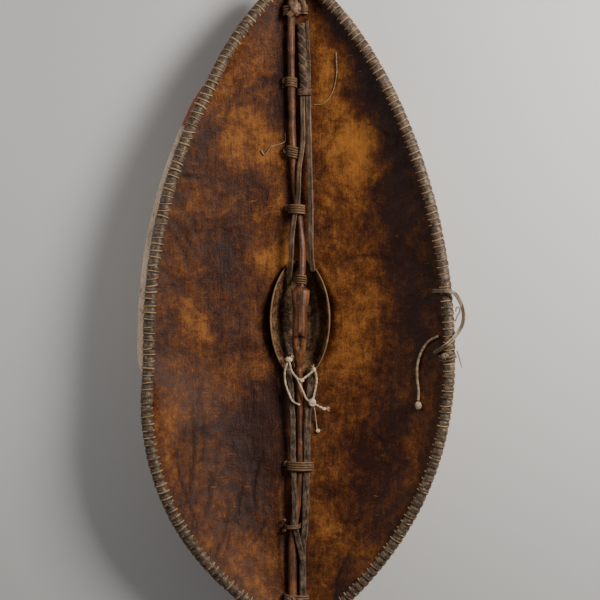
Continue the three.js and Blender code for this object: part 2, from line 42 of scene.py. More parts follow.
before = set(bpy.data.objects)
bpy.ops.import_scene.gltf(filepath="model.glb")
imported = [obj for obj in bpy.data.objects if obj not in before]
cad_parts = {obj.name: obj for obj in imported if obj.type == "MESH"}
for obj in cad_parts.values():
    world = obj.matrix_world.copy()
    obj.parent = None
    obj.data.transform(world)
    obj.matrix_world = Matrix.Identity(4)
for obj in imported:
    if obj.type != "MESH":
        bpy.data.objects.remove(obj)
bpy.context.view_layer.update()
BODY = "root"
MM = 0.001

# ---- The shield's form, in millimetres ------------------------------------------------------

TOP_TIP = 575.0
BOTTOM_TIP = -526.0
WIDEST_Y = -50.0
REACH = (253.8, 244.0)  # left, right
# How full each quarter of the outline is, left and right: the power and the root of its curve.
FULLNESS_TOP = ((2.23, 0.86), (1.9, 0.74))
FULLNESS_BOTTOM = ((2.85, 0.93), (2.27, 0.9))
TIP_LEAN = -10.0
HIDE_THICKNESS = 4.0
FLOOR_HEIGHT = 30.0
TIP_RISE = 62.0
WALL_HEIGHT = 100.0
WALL_TAPER = 1.3
WALL_CURVE = (2.6, 2.1)  # left, right
# The left wall curls inwards over a long stretch, and stands out below its edge.
WARP_Y, WARP_HALF_LENGTH, WARP_EDGE_INWARD = 154.0, 340.0, 5.0
WARP_WALL_OUTWARD, WARP_WALL_SHARE, WARP_FLAT_SHARE = 11.0, 0.18, 0.6
BOSS_HALF_WIDTH, BOSS_HALF_LENGTH, BOSS_FLAT_SHARE = 64.0, 106.0, 0.48

ROLL_INNER, ROLL_OUTER, ROLL_CROWN, ROLL_LIP, ROLL_SLOT = 9.5, 10.5, 12.0, 4.8, 4.3
ROLL_DEEPER = 0.947  # how far across the hide the roll's slope is taken from

STAFF_ENDS = (-500.0, 548.0)
STAFF_BENDS = (
    (-500, -12), (-382, -12.5), (-307, -5), (-240, 0), (-93, -2), (45, 1),
    (112, 4), (161, 0), (262, -11), (413, -15), (548, -15),
)
STAFF_RADIUS, STAFF_BUTT_RADIUS, STAFF_CLEARANCE = 6.4, 7.2, 0.6
GRIP_TOP, GRIP_BOTTOM, GRIP_HALF_WIDTH, GRIP_HALF_DEPTH = 59.0, -92.0, 12.6, 11.0
GRIP_HEIGHT, GRIP_BRIDGE = 50.0, 170.0
GRIP_SHOULDER, GRIP_TONGUE = 12.0, 62.0  # the lengths over which the grip swells at its two ends
GRIP_FLARE_Y, GRIP_FLARE_HALF_LENGTH, GRIP_FLARE_SHARE = 45.0, 34.0, 0.22
GRIP_WAIST_Y, GRIP_WAIST_LENGTH, GRIP_WAIST_SHARE = -2.0, 24.0, 0.05

GUARD_HALF_WIDTH, GUARD_HALF_LENGTH, GUARD_THICKNESS = 50.0, 102.0, 2.2
GUARD_CLEARANCE, GUARD_EDGE_RISE = 3.2, 20.0


def smooth(value, low, high):
    """Rises softly from 0 at low to 1 at high."""
    t = np.clip((value - low) / (high - low), 0.0, 1.0)
    return t * t * (3.0 - 2.0 * t)


def blend(a, b, share):
    return a + (b - a) * share


def hump(at):
    """A hump of height 1 at 0 that falls smoothly to 0 at -1 and 1."""
    return np.where(np.abs(at) < 1.0, np.cos(np.pi / 2 * np.clip(at, -1, 1)) ** 2, 0.0)


def bell(at):
    return np.exp(-(at**2))


def by_side(left, pair):
    return np.where(left, pair[0], pair[1])


def along_to_tip(y):
    tip = np.where(y > WIDEST_Y, TOP_TIP, BOTTOM_TIP)
    return np.clip((y - WIDEST_Y) / (tip - WIDEST_Y), 0.0, 1.0)


def reach(left, y):
    """From the centre line to the edge at y, before the warp."""
    upper = y > WIDEST_Y
    power, root = (
        np.where(
            upper,
            by_side(left, (FULLNESS_TOP[0][k], FULLNESS_TOP[1][k])),
            by_side(left, (FULLNESS_BOTTOM[0][k], FULLNESS_BOTTOM[1][k])),
        )
        for k in (0, 1)
    )
    return by_side(left, REACH) * (1.0 - along_to_tip(y) ** power) ** root


def centre_x(y):
    return np.where(y > WIDEST_Y, TIP_LEAN * along_to_tip(y) ** 4, 0.0)


def warp_at(left, y):
    return np.where(left, 1.0 - smooth(np.abs(y - WARP_Y) / WARP_HALF_LENGTH, WARP_FLAT_SHARE, 1.0), 0.0)


def spine_height(y):
    return FLOOR_HEIGHT + TIP_RISE * (y / np.where(y > 0, TOP_TIP, BOTTOM_TIP)) ** 2


def boss_at(x, y):
    return 1.0 - smooth(np.hypot(x / BOSS_HALF_WIDTH, y / BOSS_HALF_LENGTH), BOSS_FLAT_SHARE, 1.0)


def inner_face(y, across):
    """Points of the inner face: across runs from -1 at the left edge to 1 at the right edge."""
    y, across = np.broadcast_arrays(np.asarray(y, float), np.asarray(across, float))
    left = across < 0
    out = np.abs(across)
    warp = warp_at(left, y)
    room = reach(left, y)
    edge = room - warp * WARP_EDGE_INWARD
    bulge = warp * (WARP_WALL_OUTWARD + WARP_WALL_SHARE * edge) * np.sin(np.pi * out**3.2)
    x = centre_x(y) + np.sign(across) * (edge * out + bulge)
    wall = WALL_HEIGHT * (room / by_side(left, REACH)) ** WALL_TAPER
    base = spine_height(y) + wall * out ** by_side(left, WALL_CURVE)
    return np.stack([x, y, blend(base, HIDE_THICKNESS, boss_at(x, y))], axis=-1)


def inner_height(x, y):
    x, y = np.broadcast_arrays(np.asarray(x, float), np.asarray(y, float))
    left = x < centre_x(y)
    edge = reach(left, y) - warp_at(left, y) * WARP_EDGE_INWARD
    return inner_face(y, (x - centre_x(y)) / np.maximum(edge, 1e-6))[..., 2]


def unit(vectors):
    return vectors / np.maximum(np.linalg.norm(vectors, axis=-1, keepdims=True), 1e-9)


def inner_normal(y, across):
    inside = np.clip(across, -0.999, 0.999)
    along = inner_face(y + 0.5, inside) - inner_face(y - 0.5, inside)
    over = inner_face(y, inside + 0.001) - inner_face(y, inside - 0.001)
    return unit(np.cross(over, along))


def bent_line(points, count):
    """A uniform Catmull-Rom line through a row of plane points."""
    p = np.array(points, float)
    place = np.linspace(0, len(p) - 1, count)
    i = np.minimum(place.astype(int), len(p) - 2)
    t = (place - i)[:, None]
    a, b, c, d = p[np.maximum(i - 1, 0)], p[i], p[i + 1], p[np.minimum(i + 2, len(p) - 1)]
    m, n = (c - a) / 2, (d - b) / 2
    return (2 * b - 2 * c + m + n) * t**3 + (-3 * b + 3 * c - 2 * m - n) * t**2 + m * t + b


STAFF_LINE = bent_line(STAFF_BENDS, 401)


def staff_x(y):
    return np.interp(y, STAFF_LINE[:, 0], STAFF_LINE[:, 1])


def staff_radius(y):
    return blend(STAFF_RADIUS, STAFF_BUTT_RADIUS, smooth(-y, 200, 380))


def staff_height(y):
    y = np.asarray(y, float)
    lying = inner_height(staff_x(y), y) + staff_radius(y) + STAFF_CLEARANCE
    foot_y = np.where(y < 0, -GRIP_BRIDGE, GRIP_BRIDGE)
    footing = inner_height(staff_x(foot_y), foot_y) + staff_radius(foot_y) + STAFF_CLEARANCE
    return np.where(np.abs(y) >= GRIP_BRIDGE, lying, blend(footing, GRIP_HEIGHT, hump(y / GRIP_BRIDGE)))


def staff_top(y):
    return staff_height(y) + staff_radius(y)


def over_hide(x, y, above):
    return (x, y, float(inner_height(x, y)) + above)


def over_staff(x, y, above):
    return (x, y, float(staff_top(y)) + above)


# ---- Making meshes --------------------------------------------------------------------------


def ruffle(points, size, seed=0.0):
    """Smooth noise from -1 to 1 at each point, in waves of about that size."""
    shift = Vector((seed * 17.3, seed * 5.1 + 0.5, seed * 9.7))
    flat = np.asarray(points, float).reshape(-1, 3) / size
    values = [noise.noise(Vector(p) + shift) for p in flat.tolist()]
    return np.array(values).reshape(np.shape(points)[:-1])


def curve_through(points, count):
    """A centripetal Catmull-Rom line through the points, as count points at equal steps."""
    p = np.array(points, float)
    p = np.vstack([2 * p[0] - p[1], p, 2 * p[-1] - p[-2]])
    fine = []
    for a, b, c, d in zip(p[:-3], p[1:-2], p[2:-1], p[3:]):
        t = np.linspace(0, 1, 24, endpoint=False)[:, None]
        s, u, v = (max(np.linalg.norm(k), 1e-4) ** 0.5 for k in (b - a, c - b, d - c))
        m = ((b - a) / s - (c - a) / (s + u) + (c - b) / u) * u
        n = ((c - b) / u - (d - b) / (u + v) + (d - c) / v) * u
        fine.append((2 * b - 2 * c + m + n) * t**3 + (-3 * b + 3 * c - 2 * m - n) * t**2 + m * t + b)
    fine = np.vstack([*fine, p[-2:-1]])
    return even_steps(fine, count)


def distances(path):
    return np.concatenate([[0.0], np.cumsum(np.linalg.norm(np.diff(path, axis=0), axis=1))])


def even_steps(path, count):
    travelled = distances(path)
    at = np.linspace(0, travelled[-1], count)
    return np.stack([np.interp(at, travelled, path[:, k]) for k in range(path.shape[1])], axis=1)


def frames_along(path, closed=False, level=False):
    """The ways sideways and up at each point of a path."""
    if closed:
        ahead = unit(np.roll(path, -1, 0) - np.roll(path, 1, 0))
    else:
        ahead = unit(np.gradient(path, axis=0))
    if level:
        side = unit(np.cross(ahead, [0.0, 0.0, 1.0]))
        return side, np.cross(side, ahead)
    side = np.zeros_like(path)
    first = np.cross(ahead[0], [0.0, 0.0, 1.0])
    last = first if np.linalg.norm(first) > 0.3 else np.array([0.0, 1.0, 0.0])
    for i, way in enumerate(ahead):
        last = unit(last - np.dot(last, way) * way)
        side[i] = last
    return side, np.cross(side, ahead)


class Heap:
    """Points and faces gathered for one mesh."""

    def __init__(self):
        self.points, self.runs, self.faces, self.slots, self.count = [], [], [], [], 0

    def add(self, points, faces, runs=None, slot=0):
        """Adds one closed shape, and turns its faces outwards."""
        points = np.asarray(points, float)
        faces = np.asarray(faces)
        a, b, c = points[faces[:, 0]], points[faces[:, 1]], points[faces[:, 2]]
        volume = np.einsum("ij,ij->i", a, np.cross(b, c)).sum()
        if faces.shape[1] == 4:
            volume += np.einsum("ij,ij->i", a, np.cross(c, points[faces[:, 3]])).sum()
        if volume < 0:
            faces = faces[:, ::-1]
        self.points.append(points)
        self.runs.append(points if runs is None else runs)
        self.faces += (faces + self.count).tolist()
        self.slots += [slot] * len(faces)
        self.count += len(points)

    def sweep(self, path, side, up, section, closed=False, slot=0):
        """Carries a cross-section, one for all places or one for each, along a path."""
        section = np.broadcast_to(section, (len(path), *np.shape(section)[-2:]))
        rings = path[:, None] + side[:, None] * section[..., :1] + up[:, None] * section[..., 1:]
        n, m = rings.shape[:2]
        along = np.broadcast_to(distances(path)[:, None, None], (n, m, 1))
        runs = np.concatenate([along, section], axis=2).reshape(-1, 3)
        i, j = np.meshgrid(np.arange(n if closed else n - 1), np.arange(m), indexing="ij")
        k, l = (i + 1) % n, (j + 1) % m
        faces = np.stack([i * m + j, i * m + l, k * m + l, k * m + j], axis=-1).reshape(-1, 4)
        points = rings.reshape(-1, 3)
        if not closed:
            points = np.vstack([points, rings[0].mean(0), rings[-1].mean(0)])
            runs = np.vstack([runs, [along[0, 0, 0], 0, 0], [along[-1, 0, 0], 0, 0]])
            around = np.arange(m)
            after = (around + 1) % m
            first, last = np.full(m, n * m), np.full(m, n * m + 1)
            start = np.stack([after, around, first, first], axis=-1)
            end = np.stack([around + (n - 1) * m, after + (n - 1) * m, last, last], axis=-1)
            faces = np.vstack([faces, start, end])
        self.add(points, faces, runs, slot)

    def to_object(self, name, *materials):
        mesh = bpy.data.meshes.new(name)
        faces = [list(dict.fromkeys(face)) for face in self.faces]
        mesh.from_pydata((np.vstack(self.points) * MM).tolist(), [], faces)
        run = mesh.attributes.new("run", "FLOAT_VECTOR", "POINT")
        run.data.foreach_set("vector", (np.vstack(self.runs) * MM).astype(np.float32).ravel())
        for material in materials:
            mesh.materials.append(material)
        mesh.polygons.foreach_set("material_index", self.slots)
        mesh.polygons.foreach_set("use_smooth", [True] * len(mesh.polygons))
        mesh.update()
        piece = bpy.data.objects.new(name, mesh)
        bpy.context.scene.collection.objects.link(piece)
        return piece


def oval(half_width, half_depth, sides=8):
    angle = 2 * np.pi * (np.arange(sides) + 0.5) / sides
    return np.stack([half_width * np.cos(angle), half_depth * np.sin(angle)], axis=-1)


def end_shrink(count, rounded=2):
    """A share for each place of a path that rounds off its two ends."""
    i = np.arange(count)
    near = np.minimum(i, count - 1 - i)
    return np.where(near < rounded, np.sqrt(1 - (1 - (near + 0.6) / (rounded + 0.6)) ** 2), 1.0)


def strand(heap, points, half_width, half_depth=None, count=24, sides=8, lobes=0, pitch=4.0,
           rough=0.06, closed=False, level=False, slot=0, seed=0.0, taper=0.0):
    """A cord, thong or strip along a smooth line, slightly uneven, and laid up from lobes if it has them."""
    half_depth = half_width if half_depth is None else half_depth
    if closed:
        path = even_steps(np.array([*points, points[0]], float), count + 1)[:-1]
    else:
        path = curve_through(points, count)
    side, up = frames_along(path, closed, level)
    section = np.broadcast_to(oval(half_width, half_depth, sides), (count, sides, 2))
    uneven = 1 + rough * ruffle(path, 5.0 + half_width, seed)
    if lobes:
        angle = 2 * np.pi * (np.arange(sides) + 0.5) / sides
        turned = lobes * angle[None, :] - 2 * np.pi * distances(path)[:, None] / pitch
        section = section * (1 + 0.13 * np.cos(turned))[..., None]
    share = np.linspace(0, 1, count)
    size = uneven * (1 - taper * share)
    if not closed:
        size = size * end_shrink(count)
    heap.sweep(path, side, up, section * size[:, None, None], closed, slot)


def knot(heap, centre, size, radius, turns=4, seed=1, slot=0, lobes=0):
    """A small hard knot: loops pulled tight about one middle."""
    draw = np.random.default_rng(seed)
    for turn in range(turns):
        a = unit(draw.normal(size=3))
        b = unit(np.cross(a, draw.normal(size=3)))
        angle = np.linspace(0, 2 * np.pi, 14, endpoint=False)[:, None]
        loop = np.array(centre) + (np.cos(angle) * a + np.sin(angle) * b) * (np.array(size) - radius)
        strand(heap, loop, radius, count=20, sides=7, closed=True, slot=slot, seed=turn, lobes=lobes)


def frays(heap, place, way, count, length, seed, radius=0.35, spread=0.6, slot=0):
    """Loose fibres that stand off a cut end."""
    draw = np.random.default_rng(seed)
    for _ in range(count):
        aim = unit(np.array(way, float) + spread * draw.normal(size=3) * (1, 1, 0.5))
        sway = np.cross(aim, draw.normal(size=3)) * length * 0.25
        reach_out = length * draw.uniform(0.5, 1.0)
        start = np.array(place, float) + draw.normal(size=3) * radius
        points = [start, start + aim * reach_out * 0.5 + sway * 0.5, start + aim * reach_out]
        strand(heap, points, radius, count=6, sides=5, taper=0.6, rough=0.0, slot=slot)


def settle(piece, slot, *nodes):
    """The piece rides on the shield, and stands for these CAD nodes."""
    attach(piece, BODY)
    if nodes:
        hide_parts(*nodes)
    return piece


# ---- Finishes -------------------------------------------------------------------------------


class Finish:
    """One procedural material, built node by node."""

    def __init__(self, name):
        self.material = bpy.data.materials.new(name)
        self.material.use_nodes = True
        self.tree = self.material.node_tree
        self.skin = self.tree.nodes["Principled BSDF"]

    def node(self, kind, inputs=None, **settings):
        made = self.tree.nodes.new(kind)
        for name, value in settings.items():
            setattr(made, name, value)
        for name, value in (inputs or {}).items():
            self.feed(made, name, value)
        return made

    def feed(self, node, name, value):
        if isinstance(value, bpy.types.NodeSocket):
            self.tree.links.new(value, node.inputs[name])
        else:
            node.inputs[name].default_value = value

    def place(self):
        return self.node("ShaderNodeTexCoord").outputs["Object"]

    def mark(self, name, kind="Fac"):
        return self.node("ShaderNodeAttribute", attribute_name=name).outputs[kind]

    def stretched(self, vector, scale, offset=(0, 0, 0)):
        inputs = {"Vector": vector, "Scale": scale, "Location": offset}
        return self.node("ShaderNodeMapping", inputs).outputs["Vector"]

    def noise(self, vector, scale, detail=4.0, rough=0.55, distortion=0.0):
        inputs = {"Vector": vector, "Scale": scale, "Detail": detail, "Roughness": rough,
                  "Distortion": distortion}
        return self.node("ShaderNodeTexNoise", inputs).outputs["Fac"]

    def math(self, operation, a, b=0.0, clamp=False):
        made = self.node("ShaderNodeMath", {0: a, 1: b}, operation=operation, use_clamp=clamp)
        return made.outputs[0]

    def total(self, *parts):
        """The sum of (value, weight) pairs, each value taken about its own middle of 0.5."""
        result = None
        for value, weight in parts:
            part = self.math("MULTIPLY", self.math("SUBTRACT", value, 0.5), weight)
            result = part if result is None else self.math("ADD", result, part)
        return result

    def span(self, value, low, high, to_low=0.0, to_high=1.0):
        inputs = {"Value": value, "From Min": low, "From Max": high, "To Min": to_low, "To Max": to_high}
        return self.node("ShaderNodeMapRange", inputs, interpolation_type="SMOOTHSTEP").outputs["Result"]

    def mix(self, share, a, b, kind="MIX"):
        made = self.node("ShaderNodeMix", {0: share, 6: a, 7: b}, data_type="RGBA", blend_type=kind)
        return made.outputs[2]

    def ramp(self, value, *stops):
        made = self.node("ShaderNodeValToRGB", {"Fac": value})
        elements = made.color_ramp.elements
        while len(elements) < len(stops):
            elements.new(0.5)
        for element, (at, colour) in zip(elements, stops):
            element.position = at
            element.color = colour
        return made.outputs["Color"]

    def bump(self, height, depth, strength=1.0, after=None):
        inputs = {"Height": height, "Distance": depth, "Strength": strength}
        if after is not None:
            inputs["Normal"] = after
        return self.node("ShaderNodeBump", inputs).outputs["Normal"]

    def coat(self, colour, roughness, normal, specular=0.5):
        self.feed(self.skin, "Base Color", colour)
        self.feed(self.skin, "Roughness", roughness)
        self.feed(self.skin, "Normal", normal)
        self.feed(self.skin, "Specular IOR Level", specular)
        return self.material


def solid(colour, share=1.0):
    """A colour with its alpha, darkened or lightened by a share."""
    return (*(min(1.0, channel * share) for channel in tuple(colour)[:3]), 1.0)


def fibrous(name, dark, light, fibre=900.0, stretch=0.06, spots=60.0, depth=0.0004, gloss=(0.45, 0.7),
            grime=0.5, along_run=True):
    """Wood, rawhide or cord: fibres that run along the piece, with stains and rubbed high places."""
    make = Finish(name)
    vector = make.mark("run", "Vector") if along_run else make.place()
    fibres = make.noise(make.stretched(vector, (stretch, 1, 1)), fibre, 5.0, 0.6)
    coarse = make.noise(make.stretched(vector, (stretch * 2.5, 1, 1), (3, 1, 2)), fibre * 0.3, 3.0)
    stain = make.noise(make.place(), spots, 5.0, 0.62, 0.4)
    flecks = make.noise(make.place(), spots * 9, 2.0, 0.5)
    tone = make.math("ADD", make.total((fibres, 1.3), (coarse, 1.0), (stain, 1.5), (flecks, 0.4)), 0.5, True)
    colour = make.ramp(tone, (0.05, solid(dark, 0.45)), (0.4, solid(dark)),
                       (0.62, solid(blend3(dark, light))),
                       (0.95, solid(light)))
    dirty = make.span(make.noise(make.place(), spots * 0.45, 4.0, 0.6, 0.6), 0.5, 0.72, 0.0, grime)
    colour = make.mix(dirty, colour, solid(dark, 0.4))
    worn = make.node("ShaderNodeNewGeometry").outputs["Pointiness"]
    colour = make.mix(make.span(worn, 0.5, 0.6, 0.0, 0.45), colour, solid(light, 1.25))
    height = make.total((fibres, 0.7), (coarse, 1.0), (flecks, 0.35))
    roughness = make.span(tone, 0.1, 0.9, gloss[1], gloss[0])
    return make.coat(colour, roughness, make.bump(height, depth), 0.32)


def blend3(a, b, share=0.5):
    return tuple(x + (y - x) * share for x, y in zip(tuple(a)[:3], tuple(b)[:3]))


def hide_finish(settings):
    """The smoked inner face: amber where it is worn and where painted light lies, dark red-brown where smoke
    and grease have gone in and where painted shade lies, with near-black painted shade in the folds.
    """
    make = Finish("smoked_hide")
    place = make.place()
    # The tone attribute holds painted shade and painted light as well as smoke stains and wear.
    tone = make.mark("tone")
    fold_shade = make.mark("fold_shade")
    clouds = make.noise(place, 14.0, 5.0, 0.62, 0.7)
    mottle = make.noise(place, 75.0, 6.0, 0.68, 0.3)
    grain = make.noise(place, 420.0, 3.0, 0.6)
    fibres = make.noise(make.stretched(place, (1.0, 0.16, 0.4)), 210.0, 4.0, 0.62)
    value = make.math("ADD", tone, make.total((clouds, 0.8), (mottle, 0.75), (grain, 0.5), (fibres, 0.3)))
    colour = make.ramp(value, (0.0, solid(settings.dark_colour, 0.55)), (0.28, solid(settings.dark_colour)),
                       (0.5, solid(settings.middle_colour)), (0.74, solid(settings.worn_colour)),
                       (1.0, solid(settings.worn_colour, 1.45)))
    patch = make.span(make.noise(place, 33.0, 4.0, 0.7, 1.0), 0.56, 0.7, 0.0, 0.55)
    colour = make.mix(patch, colour, solid(settings.dark_colour, 1.3))
    speck = make.span(make.noise(place, 230.0, 2.0, 0.5), 0.66, 0.74, 0.0, 0.7)
    colour = make.mix(speck, colour, solid(settings.dark_colour, 0.35))
    # Painted shade: the hollows of the folds are darkened.
    colour = make.mix(make.math("MULTIPLY", fold_shade, 0.85), colour, solid(settings.dark_colour, 0.25))
    scratch = make.noise(make.stretched(place, (0.12, 1.0, 0.5), (0.3, 0.1, 0)), 260.0, 2.0, 0.4)
    colour = make.mix(make.span(scratch, 0.72, 0.78, 0.0, 0.35), colour, solid(settings.worn_colour, 1.5))
    height = make.total((mottle, 1.0), (grain, 0.5), (fibres, 0.9), (clouds, 0.6))
    normal = make.bump(height, 0.0011, 0.8)
    roughness = make.span(value, 0.1, 0.95, 0.5, 0.68)
    return make.coat(colour, roughness, normal, 0.22)


def paint_finish(settings):
    """The painted convex face: a rubbed pale ground, ochre ends, and a plain banded oval down the middle."""
    make = Finish("painted_hide")
    place = make.place()
    wander = make.noise(place, 26.0, 4.0, 0.6)
    parts = make.node("ShaderNodeSeparateXYZ", {"Vector": place})
    x, y = parts.outputs["X"], parts.outputs["Y"]
    drift = make.math("MULTIPLY", make.math("SUBTRACT", wander, 0.5), 0.02)
    up = make.math("ADD", y, drift)
    ends = make.math("MAXIMUM", make.span(up, 0.318, 0.324), make.span(up, -0.3, -0.306))
    across = make.math("DIVIDE", make.math("ADD", x, drift), 0.085)
    oval_place = make.math("SQRT", make.math("ADD", make.math("MULTIPLY", across, across),
                           make.math("POWER", make.math("ABSOLUTE", make.math("DIVIDE", up, 0.3)), 2.0)))
    ring = make.math("MULTIPLY", make.span(oval_place, 0.9, 0.93), make.span(oval_place, 1.06, 1.03))
    inside = make.span(oval_place, 0.78, 0.75)
    stain = make.noise(place, 11.0, 5.0, 0.65, 0.5)
    fine = make.noise(place, 160.0, 5.0, 0.6)
    ground = make.ramp(make.math("ADD", make.total((stain, 1.0), (fine, 0.7)), 0.5),
                       (0.1, solid(settings.paint_ground, 0.5)), (0.6, solid(settings.paint_ground)),
                       (1.0, solid(settings.paint_ground, 1.2)))
    colour = make.mix(make.math("MAXIMUM", ends, inside), ground, solid(settings.paint_field))
    colour = make.mix(ring, colour, solid(settings.dark_colour, 0.5))
    rubbed = make.span(make.noise(place, 60.0, 6.0, 0.7, 0.6), 0.57, 0.66, 0.0, 0.75)
    colour = make.mix(rubbed, colour, solid(settings.middle_colour, 1.6))
    grime = make.span(make.math("ADD", make.total((stain, 1.0), (fine, 0.5)), 0.5), 0.45, 0.15, 0.0, 0.6)
    colour = make.mix(grime, colour, solid(settings.dark_colour, 1.2))
    height = make.total((fine, 1.0), (stain, 0.5))
    return make.coat(colour, make.span(fine, 0.2, 0.8, 0.85, 0.6), make.bump(height, 0.0008, 0.7), 0.3)


def stage_finish(colour):
    make = Finish("plain_floor")
    cloud = make.noise(make.place(), 0.8, 2.0)
    tint = make.mix(make.span(cloud, 0.3, 0.7), solid(colour, 0.985), solid(colour))
    return make.coat(tint, 0.9, make.bump(cloud, 0.0001, 0.1), 0.2)


# ---- The sizes and colours that a user would change -----------------------------------------


def size(name, default, description):
    return bpy.props.FloatProperty(name=name, default=default, description=description, min=0.0,
                                   subtype="DISTANCE", unit="LENGTH", precision=5)


def tint(name, default, description):
    return bpy.props.FloatVectorProperty(name=name, default=default, description=description,
                                         subtype="COLOR", size=3, min=0.0, max=1.0)


class ShieldStageSettings(bpy.types.PropertyGroup):
    """The camera, the floor and the lights."""

    camera_height: size("Camera height", 2.33, "How high the camera hangs over the floor")
    camera_y: bpy.props.FloatProperty(name="Camera place", default=0.033, unit="LENGTH",
                                      description="How far towards the upper tip the camera hangs")
    lens: bpy.props.FloatProperty(name="Lens", default=80.0, description="Focal length, in millimetres")
    floor_colour: tint("Floor", (0.62, 0.62, 0.61), "The plain pale floor")
    key_power: bpy.props.FloatProperty(name="Main light", default=54.0, unit="POWER",
                                       description="Power of the large soft light on the right")
    side_power: bpy.props.FloatProperty(name="Side light", default=10.0, unit="POWER",
                                        description="Power of the soft light on the left")
    surround: bpy.props.FloatProperty(name="Surround", default=0.11,
                                      description="Strength of the even light from all round")


class ShieldHideSettings(bpy.types.PropertyGroup):
    """The hide and its two faces."""

    relief: size("Relief", 0.0017, "Height of the hide's waves and wrinkles")
    # Besides smoke and wear, the smoked and worn colours also carry the inner face's painted shade and
    # painted light.
    dark_colour: tint("Smoked", (0.03, 0.0058, 0.0012), "Where smoke and grease have gone in")
    middle_colour: tint("Amber", (0.105, 0.03, 0.0042), "The hide's ordinary colour")
    worn_colour: tint("Worn", (0.27, 0.098, 0.018), "Where the inner face is rubbed pale")
    paint_ground: tint("Pale paint", (0.62, 0.47, 0.34), "The ground of the convex face")
    paint_field: tint("Ochre", (0.27, 0.065, 0.035), "The red earth paint of the convex face")


class ShieldRimSettings(bpy.types.PropertyGroup):
    """The rolled strip round the edge and its stitches."""

    spacing: size("Stitch spacing", 0.0115, "From one stitch to the next along the rim")
    thong: size("Stitch width", 0.0021, "Width of the sewing thong")
    slant: bpy.props.FloatProperty(name="Slant", default=math.radians(9), subtype="ANGLE",
                                   description="How far the stitches lean along the rim")
    seed: bpy.props.IntProperty(name="Seed", default=7, description="Picks the stitches' unevenness")
    strip_dark: tint("Strip, dark", (0.036, 0.022, 0.013), "The strip's grimy hollows")
    strip_light: tint("Strip, light", (0.17, 0.115, 0.074), "The strip's rubbed high places")
    thong_dark: tint("Thong, dark", (0.12, 0.058, 0.022), "The sewing thong's shaded side")
    thong_light: tint("Thong, light", (0.42, 0.27, 0.14), "The sewing thong's rubbed side")


class ShieldStaffSettings(bpy.types.PropertyGroup):
    """The staff with its carved grip, and the leather guard behind it."""

    wood_dark: tint("Wood, dark", (0.05, 0.016, 0.0055), "The wood's darker grain")
    wood_light: tint("Wood, light", (0.24, 0.095, 0.038), "The wood where hands have polished it")
    guard_dark: tint("Guard, dark", (0.05, 0.02, 0.008), "The guard's grimy leather")
    guard_light: tint("Guard, light", (0.27, 0.155, 0.07), "The guard's rubbed leather")
    guard_curl: size("Guard curl", 0.0035, "How far the guard's edge curls over")


class ShieldStrapSettings(bpy.types.PropertyGroup):
    """The straps, bindings and lashings."""

    strap_dark: tint("Strap, dark", (0.035, 0.018, 0.009), "The rawhide's shaded fibres")
    strap_light: tint("Strap, light", (0.17, 0.095, 0.05), "The rawhide's rubbed fibres")
    thong_dark: tint("Thong, dark", (0.04, 0.02, 0.009), "The binding thong's shaded side")
    thong_light: tint("Thong, light", (0.22, 0.12, 0.058), "The binding thong's rubbed side")
    seam_pitch: size("Wrapping pitch", 0.0165, "Width of one turn of the wound strip")


class ShieldCordSettings(bpy.types.PropertyGroup):
    """The mending cord, the carrying strap and the loose ends."""

    cord_dark: tint("Cord, dark", (0.27, 0.19, 0.1), "The mending cord's grimy hollows")
    cord_light: tint("Cord, light", (0.7, 0.58, 0.41), "The mending cord's clean strands")
    tan_dark: tint("Tan thong, dark", (0.1, 0.062, 0.036), "The tan thong's shaded side")
    tan_light: tint("Tan thong, light", (0.42, 0.31, 0.2), "The tan thong's rubbed side")
    thread: size("Thread", 0.0016, "Diameter of the loose threads")
    hanging: size("Hanging thong", 0.0048, "Diameter of the thong that hangs at the right")


# ---- The stage ------------------------------------------------------------------------------


def soft_light(name, place, aim, power, width, colour):
    data = bpy.data.lights.new(name, "AREA")
    data.energy, data.size, data.color = power, width, colour
    lamp = bpy.data.objects.new(name, data)
    lamp.location = place
    lamp.rotation_euler = (Vector(aim) - Vector(place)).to_track_quat("-Z", "Y").to_euler()
    bpy.context.scene.collection.objects.link(lamp)


class SHIELD_OT_stage(bpy.types.Operator):
    """Sets the camera over the shield, and the floor and lights round it"""

    bl_idname = "shield.stage"
    bl_label = "Camera, floor and lights"

    def execute(self, context):
        settings = context.scene.shield_stage
        camera = bpy.data.objects.new("camera", bpy.data.cameras.new("camera"))
        camera.data.lens = settings.lens
        camera.location = (0.0, settings.camera_y, settings.camera_height)
        context.scene.collection.objects.link(camera)
        context.scene.camera = camera
        heap = Heap()
        half = 6000.0
        corners = [(x, y, z) for z in (-10.0, 0.0) for x, y in
                   ((-half, -half), (half, -half), (half, half), (-half, half))]
        faces = [(0, 3, 2, 1), (4, 5, 6, 7), *((i, (i + 1) % 4, (i + 1) % 4 + 4, i + 4) for i in range(4))]
        heap.add(corners, faces)
        heap.to_object("floor", stage_finish(settings.floor_colour))
        soft_light("main_light", (1.25, 0.75, 1.35), (0, 0.1, 0.05), settings.key_power, 0.7, (1, 0.96, 0.9))
        soft_light("side_light", (-1.7, 0.5, 0.75), (-0.1, 0.1, 0.1), settings.side_power, 0.8,
                   (1, 0.97, 0.95))
        world = bpy.data.worlds.new("surround")
        world.use_nodes = True
        world.node_tree.nodes["Background"].inputs["Color"].default_value = (1, 1, 1, 1)
        world.node_tree.nodes["Background"].inputs["Strength"].default_value = settings.surround
        context.scene.world = world
        return {"FINISHED"}


# ---- The loose ends -------------------------------------------------------------------------


def lying(places, above):
    """A route over the inner face."""
    return [over_hide(x, y, above) for x, y in places]


